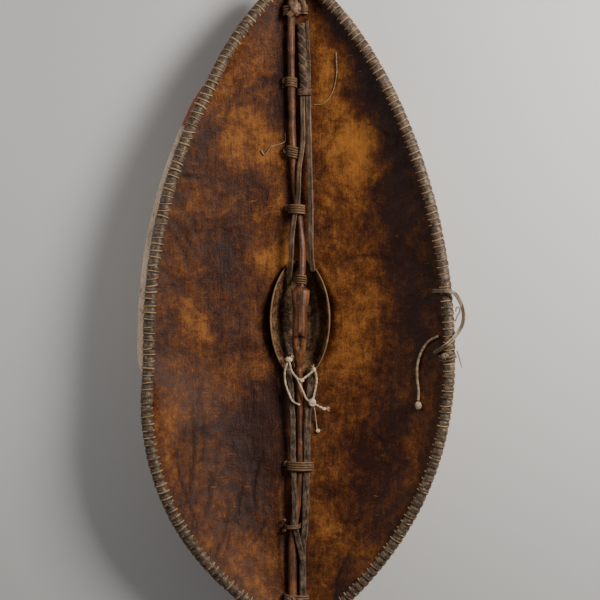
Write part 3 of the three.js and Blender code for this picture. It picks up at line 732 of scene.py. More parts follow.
HANGING_THONG = lying(((229, -27), (217, -33.5), (208, -43), (200, -60), (196, -79), (196, -100),
                       (198, -119), (197.3, -134.5)), 4.2)
HANGING_KNOT = over_hide(197, -143, 7.4)
BINDING_TAIL = lying(((-25.5, 318), (-26, 304), (-34, 300), (-49.5, 294.5), (-61, 281.5), (-66, 289)), 1.8)
THREAD_LOOP = lying(((61, 450), (61.5, 412), (53, 382), (38, 367), (24.5, 365.5)), 2.0)
REPAIR_THREAD = ((24.5, -151, 50.6), (25.8, -160, 47), (27.5, -174, 42.5), (29.5, -190, 41.7))


def loose_cord(name, route, diameter, node, slot, material, points):
    """A free thong or thread, as a round curve with its real length."""
    path = curve_through(route, points) * MM
    name = name + "_cord"
    data = bpy.data.curves.new(name, "CURVE")
    data.dimensions = "3D"
    data.bevel_depth = diameter / 2
    data.bevel_resolution = 3
    data.use_fill_caps = True
    line = data.splines.new("POLY")
    line.points.add(len(path) - 1)
    for i, (point, place) in enumerate(zip(line.points, path)):
        point.co = (*place, 1.0)
        point.radius = 1.0 - 0.06 * math.sin(i * 2.1) ** 2
    data.materials.append(material)
    piece = bpy.data.objects.new(name, data)
    bpy.context.scene.collection.objects.link(piece)
    settle(piece, slot, node)


class SHIELD_OT_loose_ends(bpy.types.Operator):
    """Lays the hanging thong, the binding's tail and the two threads in the hollow"""

    bl_idname = "shield.loose_ends"
    bl_label = "Loose thongs and threads"

    def execute(self, context):
        settings = context.scene.shield_cord
        tan = fibrous("tan_loose_thong", settings.tan_dark, settings.tan_light, 500.0, 1.0, 120.0,
                      along_run=False)
        dark = fibrous("dark_loose_thread", settings.tan_dark, settings.tan_light, 700.0, 1.0, 150.0,
                       along_run=False)
        white = fibrous("white_loose_thread", settings.cord_dark, settings.cord_light, 900.0, 1.0, 200.0,
                        grime=0.2, along_run=False)
        heap = Heap()
        knot(heap, HANGING_KNOT, (6.2, 7.2, 4.4), 1.9, 6, seed=3)
        hanging_knot = settle(heap.to_object("hanging_knot", tan), "tan_thong", "hanging_thong_knot")
        loose_cord("hanging_thong", HANGING_THONG, settings.hanging, "hanging_thong", "tan_thong", tan, 32)
        loose_cord("binding_tail", BINDING_TAIL, 0.002, "binding_tail", "thong", dark, 28)
        loose_cord("thread_loop", THREAD_LOOP, settings.thread, "thread_loop", "thong", dark, 28)
        heap = Heap()
        knot(heap, (30.5, -191.5, 42.0), (4.2, 3.6, 1.9), 0.8, 5, seed=5)
        frays(heap, (32, -190, 42), (1, 0.2, 0), 5, 5.0, seed=8, radius=0.3)
        thread_knot = settle(heap.to_object("repair_thread_knot", white), "mending_cord")
        loose_cord("repair_thread", REPAIR_THREAD, settings.thread, "repair_thread", "mending_cord", white,
                   18)
        return {"FINISHED"}


# ---- The hide -------------------------------------------------------------------------------

# Worn and smoked places of the inner face, with painted shade where the staff casts its shadow and where the
# right wall turns from the light, and painted light on the lit places, which are partly rubbed hide: x, y,
# half width, half length, and how light or dark.
STAINS_AND_PAINTED_SHADING = (
    (45, 430, 30, 60, 0.42), (85, 305, 45, 60, 0.48), (115, 260, 28, 55, 0.3), (48, 215, 35, 45, 0.22),
    (-68, 295, 40, 55, 0.36), (-32, 215, 22, 32, 0.28), (-45, 105, 40, 38, 0.38), (-70, -40, 22, 70, 0.2),
    (85, 30, 45, 120, 0.2), (125, 100, 32, 40, 0.16), (-182, 5, 26, 34, 0.28), (-175, -70, 34, 70, 0.14),
    (45, -350, 30, 45, 0.28), (-70, -455, 38, 42, 0.3), (-115, -400, 42, 40, 0.1), (100, -420, 26, 60, 0.26),
    (195, -250, 26, 60, 0.2), (205, -130, 24, 50, 0.08), (-215, -150, 22, 70, 0.18),
    (-190, 200, 40, 60, 0.06),
    (-100, 330, 50, 60, 0.1), (-118, 380, 30, 40, 0.08), (60, -70, 40, 50, 0.1), (-60, -360, 20, 60, 0.04),
    # These four are painted shade where the right wall turns away from the light.
    (120, 395, 30, 75, -0.4), (155, 250, 26, 110, -0.42), (165, 130, 22, 90, -0.26), (70, 500, 30, 60, -0.34),
    (-75, -200, 55, 60, -0.32), (-35, -130, 25, 40, -0.16), (155, -175, 28, 60, -0.26),
    (115, -260, 30, 60, -0.2),
    (85, -440, 22, 50, -0.3), (195, 15, 18, 70, -0.3), (-110, 90, 26, 70, -0.2), (-140, 10, 26, 50, -0.16),
    # The first two here are the staff's painted shadow on the hide.
    (-30, 430, 16, 50, -0.3), (-30, 360, 16, 28, -0.36), (-160, -190, 30, 60, -0.04),
    (-70, 210, 26, 30, -0.16),
    (-70, -300, 30, 50, -0.22), (60, -200, 30, 50, -0.06), (-170, 130, 40, 40, -0.04),
    (-105, 240, 40, 50, -0.05),
    (140, -330, 22, 60, -0.1),
)

PLAIN_TONE = 0.40  # the tone away from all patches
PATCH_STRENGTH = 0.72

# Folds of the inner face: two ends, sideways bend, depth and half width.
FOLDS = (
    (-188, -120, -183, -300, 9, 1.0, 3.0), (-170, -135, -165, -250, 6, 0.9, 2.6),
    (-166, -95, -170, -175, -4, 0.8, 2.4),
    (-152, -260, -160, -345, 5, 0.9, 2.6), (-124, -300, -137, -395, 6, 0.9, 2.6),
    (-98, -280, -104, -352, -5, 1.0, 3.0),
    (-64, -225, -78, -320, -8, 1.1, 3.2), (-60, -330, -92, -392, 8, 0.7, 2.4),
    (-30, -235, -42, -300, 4, 0.8, 3.0),
    (-140, -205, -150, -290, 4, 0.6, 2.2), (-206, -215, -178, -318, -6, 0.8, 2.6),
    (-118, -345, -128, -410, 3, 0.6, 2.2),
    (-228, 180, -180, 108, 7, 1.0, 3.0), (-222, 150, -186, 78, 6, 0.9, 2.6),
    (-212, 205, -176, 140, 5, 0.9, 2.6),
    (-205, 236, -168, 238, 4, 1.2, 3.0), (-200, 258, -184, 226, -3, 0.8, 2.2),
    (-232, 120, -196, 52, 6, 0.8, 2.6),
    (-190, 120, -160, 88, 3, 0.6, 2.2), (-170, 215, -150, 175, 3, 0.7, 2.4),
    (-236, 90, -214, 40, 5, 0.7, 2.4),
    (60, 95, 170, 92, 14, 0.7, 3.4), (122, -190, 148, -232, 5, 1.3, 2.8), (104, -172, 122, -192, 2, 0.8, 2.2),
    (-33, -262, -28, -455, -3, -1.8, 3.4), (150, -10, 190, -14, 5, 0.5, 2.4),
    (40, -235, 44, -330, 6, 0.5, 2.4),
    (80, -120, 84, -200, -5, 0.5, 2.4), (-90, -95, -84, -180, 5, 0.5, 2.4),
    (-100, 400, -130, 330, -4, 0.6, 2.6),
    (120, 330, 150, 300, 3, 0.8, 3.0), (-58, 140, -66, 60, 5, 0.5, 2.4), (60, -470, 92, -380, 8, 0.9, 3.4),
)
RELIEF_KEPT_NEAR_STAFF = 0.25


def distance_to_fold(x, y, fold):
    """How far each place lies from a fold's line, and how far along it, from 0 to 1."""
    x0, y0, x1, y1, bend = fold[:5]
    along = np.array((x1 - x0, y1 - y0), float)
    length = np.hypot(*along)
    ahead = along / length
    share = ((x - x0) * ahead[0] + (y - y0) * ahead[1]) / length
    aside = (x - x0) * -ahead[1] + (y - y0) * ahead[0] - bend * np.sin(np.pi * np.clip(share, 0, 1))
    beyond = np.maximum(np.maximum(-share, share - 1), 0) * length
    return np.hypot(aside, beyond), np.clip(share, 0, 1)


def hide_stains_and_shading(points):
    """How worn or smoked the inner face is, with painted shade and painted light laid in, from 0 to 1."""
    drift = ruffle(points, 42.0, 3) * 22
    x, y = points[..., 0] + drift, points[..., 1] + ruffle(points, 42.0, 4) * 26
    tone = np.full(x.shape, PLAIN_TONE)
    for px, py, wide, long, light in STAINS_AND_PAINTED_SHADING:
        tone += PATCH_STRENGTH * light * bell(np.hypot((x - px) / wide, (y - py) / long))
    return np.clip(tone, 0.02, 1.0)


def hide_folds(points):
    """Each place's height from the folds, and how deep it lies in one."""
    wander = ruffle(points, 16.0, 5) * 2.2
    x, y = points[..., 0] + wander, points[..., 1]
    height, depth = np.zeros(x.shape), np.zeros(x.shape)
    for fold in FOLDS:
        away, share = distance_to_fold(x, y, fold)
        strength = bell(away / fold[6]) * (0.35 + 0.65 * np.sin(np.pi * share))
        beside = bell((away - fold[6] * 2.2) / (fold[6] * 1.6)) * 0.45
        height += -fold[5] * strength + max(fold[5], 0) * beside
        if fold[5] > 0:
            depth = np.maximum(depth, strength * min(1.0, fold[5]))
    return height, depth


def hide_relief(points, across, amount):
    """How far the inner face stands off its plain form."""
    waves = 0.9 * ruffle(points, 75.0, 1) + 0.5 * ruffle(points, 30.0, 2) + 0.22 * ruffle(points, 12.0, 6)
    wrinkled = bell(np.hypot((points[..., 0] + 195) / 45, (points[..., 1] - 140) / 90))
    wrinkles = ruffle(points * (1.0, 0.45, 1.0) + points[..., 1:2] * (0.5, 0, 0), 9.0, 7) * wrinkled * 0.5
    at_edge = 1 - smooth(np.abs(across), 0.9, 0.985)
    from_staff = np.abs(points[..., 0] - staff_x(points[..., 1]))
    near_staff = blend(RELIEF_KEPT_NEAR_STAFF, 1.0, smooth(from_staff, 20, 50))
    folds, depth = hide_folds(points)
    return ((waves + wrinkles) * amount * near_staff + folds) * at_edge, depth * at_edge


def even_rows(count):
    """Rows from tip to tip, closer together where the outline turns in."""
    share = np.linspace(0.0015, 0.9985, count)
    return blend(BOTTOM_TIP, TOP_TIP, share - 0.5 * np.sin(2 * np.pi * share) / (2 * np.pi))


class SHIELD_OT_hide(bpy.types.Operator):
    """Builds the hide: its smoked inner face with folds, and its painted convex face"""

    bl_idname = "shield.hide"
    bl_label = "Hide"

    def execute(self, context):
        settings = context.scene.shield_hide
        rows = even_rows(380)
        inner_columns, outer_columns = np.linspace(-1, 1, 161), np.linspace(-1, 1, 61)
        y, across = np.meshgrid(rows, inner_columns, indexing="ij")
        points = inner_face(y, across)
        relief, depth = hide_relief(points, across, settings.relief / MM)
        tone = hide_stains_and_shading(points)
        inner = points + inner_normal(y, across) * relief[..., None]
        y, across = np.meshgrid(rows, outer_columns, indexing="ij")
        points = inner_face(y, across)
        relief = hide_relief(points, across, settings.relief / MM)[0] * 0.45
        on_flat = 1 - smooth(np.hypot(points[..., 0], points[..., 1]), 90, 130)
        relief = relief * (1 - on_flat)
        outer = points - inner_normal(y, across) * (HIDE_THICKNESS - relief)[..., None]
        heap = Heap()
        n, wide, narrow = len(rows), len(inner_columns), len(outer_columns)
        start = n * wide
        tips = []
        for tip_y in (BOTTOM_TIP, TOP_TIP):
            x, z = float(centre_x(tip_y)), float(spine_height(tip_y))
            tips += [(x, tip_y, z), (x, tip_y, z - HIDE_THICKNESS)]
        everything = np.vstack([inner.reshape(-1, 3), outer.reshape(-1, 3), tips])
        first_tip = start + n * narrow

        def grid(base, width, turned):
            i, j = np.meshgrid(np.arange(n - 1), np.arange(width - 1), indexing="ij")
            corner = base + i * width + j
            quads = np.stack([corner, corner + 1, corner + width + 1, corner + width], axis=-1).reshape(-1, 4)
            return quads[:, ::-1] if turned else quads

        def at(layer, row, column):
            return row * wide + column if layer == 0 else start + row * narrow + column

        faces = [*grid(0, wide, False).tolist(), *grid(start, narrow, True).tolist()]
        slots = [0] * ((n - 1) * (wide - 1)) + [1] * ((n - 1) * (narrow - 1))
        edges = []
        for row in range(n - 1):
            edges.append((at(0, row, 0), at(0, row + 1, 0), at(1, row + 1, 0), at(1, row, 0)))
            edges.append((at(0, row, wide - 1), at(1, row, narrow - 1), at(1, row + 1, narrow - 1),
                          at(0, row + 1, wide - 1)))
        for row, tip, flip in ((0, first_tip, False), (n - 1, first_tip + 2, True)):
            for layer, width in ((0, wide), (1, narrow)):
                for column in range(width - 1):
                    face = (tip + layer, at(layer, row, column + 1), at(layer, row, column))
                    edges.append(face[::-1] if flip != (layer == 1) else face)
            left = (tip, at(0, row, 0), at(1, row, 0), tip + 1)
            right = (tip, tip + 1, at(1, row, narrow - 1), at(0, row, wide - 1))
            edges += [left[::-1], right[::-1]] if flip else [left, right]
        heap.points, heap.runs, heap.count = [everything], [everything], len(everything)
        heap.faces, heap.slots = faces + [list(face) for face in edges], slots + [0] * len(edges)
        piece = heap.to_object("hide", hide_finish(settings), paint_finish(settings))
        rest = np.zeros(n * narrow + len(tips))
        # The first attribute carries stains, wear, painted shade and painted light; the second carries
        # painted shade in the folds' hollows.
        for name, values in (("tone", np.concatenate([tone.ravel(), rest + 0.3])),
                             ("fold_shade", np.concatenate([depth.ravel(), rest]))):
            mark = piece.data.attributes.new(name, "FLOAT", "POINT")
            mark.data.foreach_set("value", values.astype(np.float32))
        settle(piece, "hide", "hide_body")
        return {"FINISHED"}


# ---- The rim --------------------------------------------------------------------------------


def edge_places(y, left):
    """The middle of the hide's edge, the way out along the wall, and the roll's lip."""
    across = np.where(left, -1.0, 1.0) * np.ones_like(y)
    middle = inner_face(y, across) - inner_normal(y, across) * HIDE_THICKNESS / 2
    room = reach(left, y)
    lip = np.minimum(ROLL_LIP, 0.2 * room)
    deeper = np.sign(across) * np.minimum(ROLL_DEEPER, 1 - lip / room)
    below = inner_face(y, deeper) - inner_normal(y, deeper) * HIDE_THICKNESS / 2
    return middle, unit(middle - below), lip


def rim_guide(spacing, per_stitch):
    """Places at equal steps round the whole rim: middle, inward, outward and lip."""
    fine = even_rows(900)
    right = edge_places(fine[::-1], False)
    left = edge_places(fine, True)
    tips = []
    for tip_y, way in ((TOP_TIP, 1.0), (BOTTOM_TIP, -1.0)):
        before = tip_y - way * 5
        middle = np.array((float(centre_x(tip_y)), tip_y, float(spine_height(tip_y)) - HIDE_THICKNESS / 2))
        below = np.array((float(centre_x(before)), before, float(spine_height(before)) - HIDE_THICKNESS / 2))
        tips.append((middle[None], unit(middle - below)[None], np.array([4.0])))
    parts = [tips[0], right, tips[1], left]
    middle, outward = (np.vstack([part[k] for part in parts]) for k in (0, 1))
    lip = np.concatenate([part[2] for part in parts])
    loop = np.hstack([middle, outward, lip[:, None]])
    loop = np.vstack([loop, loop[:1]])
    travelled = distances(loop[:, :3])
    count = int(round(travelled[-1] / spacing)) * per_stitch
    at = np.arange(count) * travelled[-1] / count
    loop = np.stack([np.interp(at, travelled, loop[:, k]) for k in range(7)], axis=1)
    kernel = bell(np.linspace(-2, 2, 4 * per_stitch + 1))
    kernel /= kernel.sum()
    pad = len(kernel) // 2
    wrapped = np.vstack([loop[-pad:], loop, loop[:pad]])
    outward = np.stack([np.convolve(wrapped[:, k], kernel, "valid") for k in (3, 4, 5)], axis=1)
    middle, lip = loop[:, :3], loop[:, 6]
    ahead = unit(np.roll(middle, -1, 0) - np.roll(middle, 1, 0))
    inward = unit(np.cross(unit(outward), ahead))
    return middle, inward, unit(np.cross(ahead, inward)), lip, ahead


def roll_outline(lip, sides):
    """The roll's skin from its inner lip over the crown to its outer lip: inward, outward."""
    knots = ((ROLL_SLOT, -lip), (ROLL_INNER * 0.78, -lip - 0.6), (ROLL_INNER, 0),
             (ROLL_INNER * 0.8, ROLL_CROWN * 0.65),
             (0, ROLL_CROWN), (-ROLL_OUTER * 0.8, ROLL_CROWN * 0.65), (-ROLL_OUTER, 0),
             (-ROLL_OUTER * 0.72, -lip * 0.7), (-ROLL_SLOT, -lip * 0.6))
    return curve_through(knots, sides)


def low_left(places):
    """How broad and rough the strip is made, from 0 to 1: most along the lower left."""
    return smooth(-places[:, 1], 330, 440) * smooth(-places[:, 0], -10, 40)


PER_STITCH = 8


class SHIELD_OT_rim(bpy.types.Operator):
    """Rolls the rawhide strip round the hide's edge, drawn in where each stitch pulls it"""

    bl_idname = "shield.rim"
    bl_label = "Rolled rim strip"

    def execute(self, context):
        settings = context.scene.shield_rim
        middle, inward, outward, lip, _ = rim_guide(settings.spacing / MM, PER_STITCH)
        count, sides = len(middle), 15
        skin = np.stack([roll_outline(one, sides) for one in np.linspace(1.0, ROLL_LIP, 12)])
        pick = np.clip(((lip - 1.0) / (ROLL_LIP - 1.0) * 11).round().astype(int), 0, 11)
        section = skin[pick]
        phase = (np.arange(count) % PER_STITCH) / PER_STITCH
        phase = np.minimum(phase, 1 - phase) * settings.spacing / MM
        pulled = 1 - 0.13 * bell(phase / 1.6)
        puffed = 1 + 0.04 * ruffle(middle, 24.0, 11) + 0.05 * ruffle(middle, 9.0, 12)
        section = section * (pulled * puffed)[:, None, None]
        rough = low_left(middle)[:, None]
        lump = ruffle(middle[:, None] + section[..., :1] * inward[:, None] * 1.3, 6.0,
                      13) * (0.35 + 0.6 * rough)
        section = section + unit(section) * lump[..., None]
        slot = np.array([(-ROLL_SLOT, 1.3), (ROLL_SLOT, 1.3)])
        section = np.concatenate([section, np.broadcast_to(slot, (count, 2, 2))], axis=1)
        heap = Heap()
        heap.sweep(middle, inward, outward, section, closed=True)
        strip = fibrous("rim_rawhide", settings.strip_dark, settings.strip_light, 420.0, 0.5, 90.0, 0.0007,
                        (0.34, 0.62), 0.6)
        settle(heap.to_object("rim_strip", strip), "rim_strip", "rim_binding")
        return {"FINISHED"}


def interface(tree, *inputs):
    tree.interface.new_socket("Geometry", in_out="INPUT", socket_type="NodeSocketGeometry")
    for name, kind, default in inputs:
        socket = tree.interface.new_socket(name, in_out="INPUT", socket_type=kind)
        if default is not None:
            socket.default_value = default
    tree.interface.new_socket("Geometry", in_out="OUTPUT", socket_type="NodeSocketGeometry")


def stitch_tree(name):
    """A node tree that sews thong stitches over a roll, at equal steps along a guide line."""
    tree = bpy.data.node_groups.new(name, "GeometryNodeTree")
    interface(tree, ("Spacing", "NodeSocketFloat", 0.0115), ("Width", "NodeSocketFloat", 0.002),
              ("Inner", "NodeSocketFloat", 0.01), ("Crown", "NodeSocketFloat", 0.012),
              ("Slant", "NodeSocketFloat", 0.15), ("Seed", "NodeSocketInt", 1),
              ("Thong", "NodeSocketMaterial", None))

    def node(kind, inputs=None, **settings):
        made = tree.nodes.new(kind)
        for key, value in settings.items():
            setattr(made, key, value)
        for key, value in (inputs or {}).items():
            if isinstance(value, bpy.types.NodeSocket):
                tree.links.new(value, made.inputs[key])
            else:
                made.inputs[key].default_value = value
        return made

    given = node("NodeGroupInput").outputs
    line = node("GeometryNodeMeshToCurve", {"Mesh": given["Geometry"]})
    places = node("GeometryNodeCurveToPoints", {"Curve": line.outputs[0], "Length": given["Spacing"]},
                  mode="LENGTH")
    inward = node("GeometryNodeInputNamedAttribute", {"Name": "inward"}, data_type="FLOAT_VECTOR")
    outward = node("GeometryNodeInputNamedAttribute", {"Name": "outward"}, data_type="FLOAT_VECTOR")
    turn = node("FunctionNodeAxesToRotation", {0: outward.outputs[0], 1: inward.outputs[0]},
                primary_axis="Y", secondary_axis="X")
    arch = node("GeometryNodeCurveArc", {"Resolution": 10, "Radius": 1.0, "Start Angle": math.radians(-26),
                                         "Sweep Angle": math.radians(228)}, mode="RADIUS")
    shape = node("ShaderNodeCombineXYZ", {"X": given["Inner"], "Y": given["Crown"], "Z": 1.0})
    over = node("GeometryNodeTransform", {"Geometry": arch.outputs[0], "Scale": shape.outputs[0]})
    half = node("ShaderNodeMath", {0: given["Width"], 1: 0.5}, operation="MULTIPLY")
    round_section = node("GeometryNodeCurvePrimitiveCircle", {"Resolution": 5, "Radius": half.outputs[0]})
    thong = node("GeometryNodeCurveToMesh", {"Curve": over.outputs[0],
                                             "Profile Curve": round_section.outputs[0],
                                             "Fill Caps": True})
    sewn = node("GeometryNodeInstanceOnPoints", {"Points": places.outputs[0], "Instance": thong.outputs[0],
                                                 "Rotation": turn.outputs[0]})
    lean = node("FunctionNodeRandomValue", {2: -0.6, 3: 2.4, "Seed": given["Seed"]}, data_type="FLOAT")
    leaning = node("ShaderNodeMath", {0: lean.outputs[1], 1: given["Slant"]}, operation="MULTIPLY")
    tilt = node("ShaderNodeCombineXYZ", {"Y": leaning.outputs[0]})
    tilted = node("GeometryNodeRotateInstances", {"Instances": sewn.outputs[0], "Rotation": tilt.outputs[0]})
    other_seed = node("ShaderNodeMath", {0: given["Seed"], 1: 5.0})
    uneven = node("FunctionNodeRandomValue", {0: (0.96, 0.96, 0.5), 1: (1.05, 1.05, 1.7),
                                              "Seed": other_seed.outputs[0]},
                  data_type="FLOAT_VECTOR")
    scaled = node("GeometryNodeScaleInstances", {"Instances": tilted.outputs[0], "Scale": uneven.outputs[0]})
    real = node("GeometryNodeRealizeInstances", {"Geometry": scaled.outputs[0]})
    finished = node("GeometryNodeSetMaterial", {"Geometry": real.outputs[0], "Material": given["Thong"]})
    smoothed = node("GeometryNodeSetShadeSmooth", {"Geometry": finished.outputs[0]})
    result = node("NodeGroupOutput", {"Geometry": smoothed.outputs[0]})
    result.is_active_output = True
    return tree


def grown(name, guide, tree, values):
    """Runs a node tree on a guide mesh, and keeps its result as a plain mesh."""
    modifier = guide.modifiers.new(name, "NODES")
    modifier.node_group = tree
    for item in tree.interface.items_tree:
        if item.item_type == "SOCKET" and item.in_out == "INPUT" and item.name in values:
            modifier[item.identifier] = values[item.name]
    bpy.context.view_layer.update()
    evaluated = guide.evaluated_get(bpy.context.evaluated_depsgraph_get())
    mesh = bpy.data.meshes.new_from_object(evaluated)
    guide.modifiers.remove(modifier)
    bpy.data.objects.remove(guide)
    if not mesh.polygons:
        raise RuntimeError(f"{name}: the node tree made nothing")
    piece = bpy.data.objects.new(name, mesh)
    bpy.context.scene.collection.objects.link(piece)
    return piece


def guide_line(name, points, **vectors):
    """A closed line of points, in metres, that carries directions for a node tree."""
    mesh = bpy.data.meshes.new(name)
    count = len(points)
    mesh.from_pydata((points * MM).tolist(), [(i, (i + 1) % count) for i in range(count)], [])
    for key, value in vectors.items():
        mesh.attributes.new(key, "FLOAT_VECTOR", "POINT").data.foreach_set(
            "vector", value.astype(np.float32).ravel())
    guide = bpy.data.objects.new(name, mesh)
    bpy.context.scene.collection.objects.link(guide)
    return guide


class SHIELD_OT_stitches(bpy.types.Operator):
    """Sews the rim strip on with whip stitches of tan thong"""

    bl_idname = "shield.stitches"
    bl_label = "Rim stitches"

    def execute(self, context):
        settings = context.scene.shield_rim
        middle, inward, outward, _, _ = rim_guide(settings.spacing / MM, PER_STITCH)
        guide = guide_line("stitch_guide", middle, inward=inward, outward=outward)
        thong = fibrous("sewing_thong", settings.thong_dark, settings.thong_light, 700.0, 1.0, 60.0,
                        0.0003, (0.4, 0.65), 0.55, along_run=False)
        piece = grown("rim_stitches", guide, stitch_tree("whip_stitches"), {
            "Spacing": settings.spacing, "Width": settings.thong, "Slant": settings.slant,
            "Inner": 9.9 * MM, "Crown": 11.4 * MM, "Seed": settings.seed, "Thong": thong})
        settle(piece, "thong")
        return {"FINISHED"}


# ---- The staff, its grip and the guard ------------------------------------------------------


def grip_swell(y):
    top = 1 - smooth(y, GRIP_TOP - GRIP_SHOULDER, GRIP_TOP)
    tongue = smooth(y, GRIP_BOTTOM, GRIP_BOTTOM + GRIP_TONGUE)
    return np.where(y > 0, top, tongue)


def waisted(y):
    """The grip's width share: broad shoulders, a slim middle, and a long tongue."""
    waist = GRIP_WAIST_SHARE * bell((y - GRIP_WAIST_Y) / GRIP_WAIST_LENGTH)
    flare = GRIP_FLARE_SHARE * hump((y - GRIP_FLARE_Y) / GRIP_FLARE_HALF_LENGTH)
    return 1 - waist + flare


class SHIELD_OT_staff(bpy.types.Operator):
    """Carves the staff, with its faceted grip and the sunk leaf below it"""

    bl_idname = "shield.staff"
    bl_label = "Staff and grip"

    def execute(self, context):
        settings = context.scene.shield_staff
        y = np.concatenate([np.linspace(STAFF_ENDS[0], -100, 150), np.linspace(-98.5, 60, 130),
                            np.linspace(62.5, STAFF_ENDS[1], 170)])
        sides = 24
        angle = 2 * np.pi * (np.arange(sides) + 0.5) / sides
        across, over = np.cos(angle)[None, :], np.sin(angle)[None, :]
        swell = grip_swell(y)[:, None]
        radius = staff_radius(y)[:, None]
        x, z = staff_x(y)[:, None], staff_height(y)[:, None]
        half_width = blend(radius, GRIP_HALF_WIDTH * waisted(y)[:, None], swell)
        half_depth = blend(radius, GRIP_HALF_DEPTH, swell)
        square = 1 + 0.12 * swell * np.abs(np.sin(2 * angle))[None, :]
        ridge = 0.9 * bell((across - 0.12) / 0.3) * (over > 0) * swell * smooth(y, -30, -10)[:, None]
        points = np.stack([x + half_width * across * square, np.broadcast_to(y[:, None], (len(y), sides)),
                           z + half_depth * over * square + ridge], axis=-1)
        upper = smooth(over, -0.1, 0.5)
        below_step = 1 - smooth(y[:, None] + 4.0 * across**2, -30.5, -26.5)
        sunk = 3.1 * below_step * upper * smooth(y, -96, -80)[:, None]
        leaf_x, leaf_y = (points[..., 0] - x) / 4.6, (y[:, None] + 38) / 17.0
        leaf = np.hypot(leaf_x, leaf_y)
        hollow = 3.2 * (1 - smooth(leaf, 0.55, 1.0)) * upper
        lip = 1.1 * bell((leaf - 1.25) / 0.28) * upper * swell
        points[..., 2] += (lip - hollow - sunk) * (swell > 0.02)
        grain = ruffle(points * (1.0, 0.09, 1.0), 2.6, 21) * 0.28 + ruffle(points, 26.0, 22) * 0.45
        outward = np.stack([across + 0 * x, 0 * x + 0 * across, over + 0 * x], axis=-1)
        knots = sum(0.9 * bell((y - at) / 7)[:, None] * bell((angle - turn) / 0.7)[None, :]
                    for at, turn in ((455, 1.2), (330, 2.2), (232, 0.9), (128, 1.9), (-215, 1.2),
                                     (-330, 2.0)))
        points += outward * (grain + knots)[..., None]
        shrink = end_shrink(len(y), 2)[:, None]
        middle = np.stack([x[:, 0], y, z[:, 0]], axis=-1)[:, None]
        points = middle + (points - middle) * shrink[..., None]
        side, up = np.tile([1.0, 0, 0], (len(y), 1)), np.tile([0, 0, 1.0], (len(y), 1))
        heap = Heap()
        heap.sweep(middle[:, 0], side, up, np.stack([points[..., 0] - x, points[..., 2] - z], axis=-1))
        wood = fibrous("staff_wood", settings.wood_dark, settings.wood_light, 620.0, 0.035, 30.0, 0.0006,
                       (0.3, 0.55), 0.45)
        piece = heap.to_object("staff_and_grip", wood)
        settle(piece, "staff_wood", "staff")
        return {"FINISHED"}


def guard_point(out, angle, lift, curl):
    x = GUARD_HALF_WIDTH * out * np.cos(angle)
    y = GUARD_HALF_LENGTH * out * np.sin(angle)
    standing = GUARD_EDGE_RISE * np.cos(angle) ** 2 * out**6
    z = inner_height(x, y) + GUARD_CLEARANCE + standing
    wander = 1.2 * ruffle(np.stack([x, y, 0 * x], axis=-1), 30.0, 31) * out
    curled = curl * bell((out - 1) / 0.05) * np.cos(angle) ** 2
    return np.stack([x * (1 - 0.03 * lift) + curled * np.sign(np.cos(angle)) * 0.6, y + 0 * x,
                     z + lift + wander + curled * 0.5], axis=-1)


class SHIELD_OT_guard(bpy.types.Operator):
    """Shapes the leaf of thin leather whose sides stand up behind the grip"""

    bl_idname = "shield.guard"
    bl_label = "Hand guard"

    def execute(self, context):
        settings = context.scene.shield_staff
        around, layers = 120, 22
        angle = 2 * np.pi * np.arange(around) / around
        out = np.concatenate([np.sqrt(np.linspace(0.01, 0.8, layers - 7)), np.linspace(0.915, 1.0, 7)])
        out, turn = np.meshgrid(out, angle, indexing="ij")
        curl = settings.guard_curl / MM
        under = guard_point(out, turn, 0.0, curl)
        over = guard_point(out, turn, GUARD_THICKNESS, curl)
        middle_edge = (guard_point(out[-1:] * 1.012, turn[-1:], GUARD_THICKNESS / 2, curl))
        rings = np.concatenate([under, middle_edge, over[::-1]])
        n = len(rings)
        i, j = np.meshgrid(np.arange(n - 1), np.arange(around), indexing="ij")
        nxt = (j + 1) % around
        faces = np.stack([i * around + j, i * around + nxt, (i + 1) * around + nxt, (i + 1) * around + j], -1)
        faces = faces.reshape(-1, 4)
        points = np.vstack([rings.reshape(-1, 3), rings[0].mean(0), rings[-1].mean(0)])
        step, after = np.arange(around), (np.arange(around) + 1) % around
        low, high = np.full(around, n * around), np.full(around, n * around + 1)
        start = np.stack([after, step, low, low], -1)
        end = np.stack([step + (n - 1) * around, after + (n - 1) * around, high, high], -1)
        heap = Heap()
        heap.add(points, np.vstack([faces, start, end]))
        leather = fibrous("guard_leather", settings.guard_dark, settings.guard_light, 300.0, 0.7, 45.0,
                          0.0007,
                          (0.45, 0.7), 0.5)
        settle(heap.to_object("guard", leather), "guard_leather", "hand_guard")
        return {"FINISHED"}


# ---- Straps, wrapping and bindings ----------------------------------------------------------

STRAP_ROUTES = {
    "upper_strap_left": ((over_hide(4, 388, 9), over_hide(4.3, 297, 14), over_staff(-1.2, 257, 4),
                          over_staff(-3, 211, 3.6), over_staff(-8.5, 180, 4.5), over_staff(-12.5, 150, 3.5),
                          over_staff(-15.5, 100, 0), over_hide(-19.5, 58, 24)), 8.0),
    "upper_strap_right": ((over_hide(13.5, 388, 9), over_hide(15.5, 297, 13.5), over_hide(18, 211, 15),
                           over_hide(19, 118, 16.5), over_hide(22, 82, 19)), 9.4),
    "lower_strap_left": ((over_hide(-21, -84, 20), over_hide(-16, -112, 17), over_hide(-12.8, -160, 17),
                          over_staff(-11.5, -240, 0.5), over_staff(-9.3, -307, 3.5),
                          over_staff(-7.6, -350, 3.5),
                          over_staff(-1.5, -378, 2.5), over_hide(4.7, -406, 15.5)), 9.0),
    "lower_strap_right": ((over_hide(21, -84, 19), over_hide(15.4, -146, 15), over_hide(12.8, -189, 15),
                           over_hide(11.5, -257, 13.5), over_hide(8.6, -341, 9), over_hide(8, -360, 7.5),
                           over_hide(4.7, -382, 6), over_hide(4.7, -430, 6), over_hide(4.7, -484, 6)), 11.0),
}
STRAP_THICKNESS = 3.0


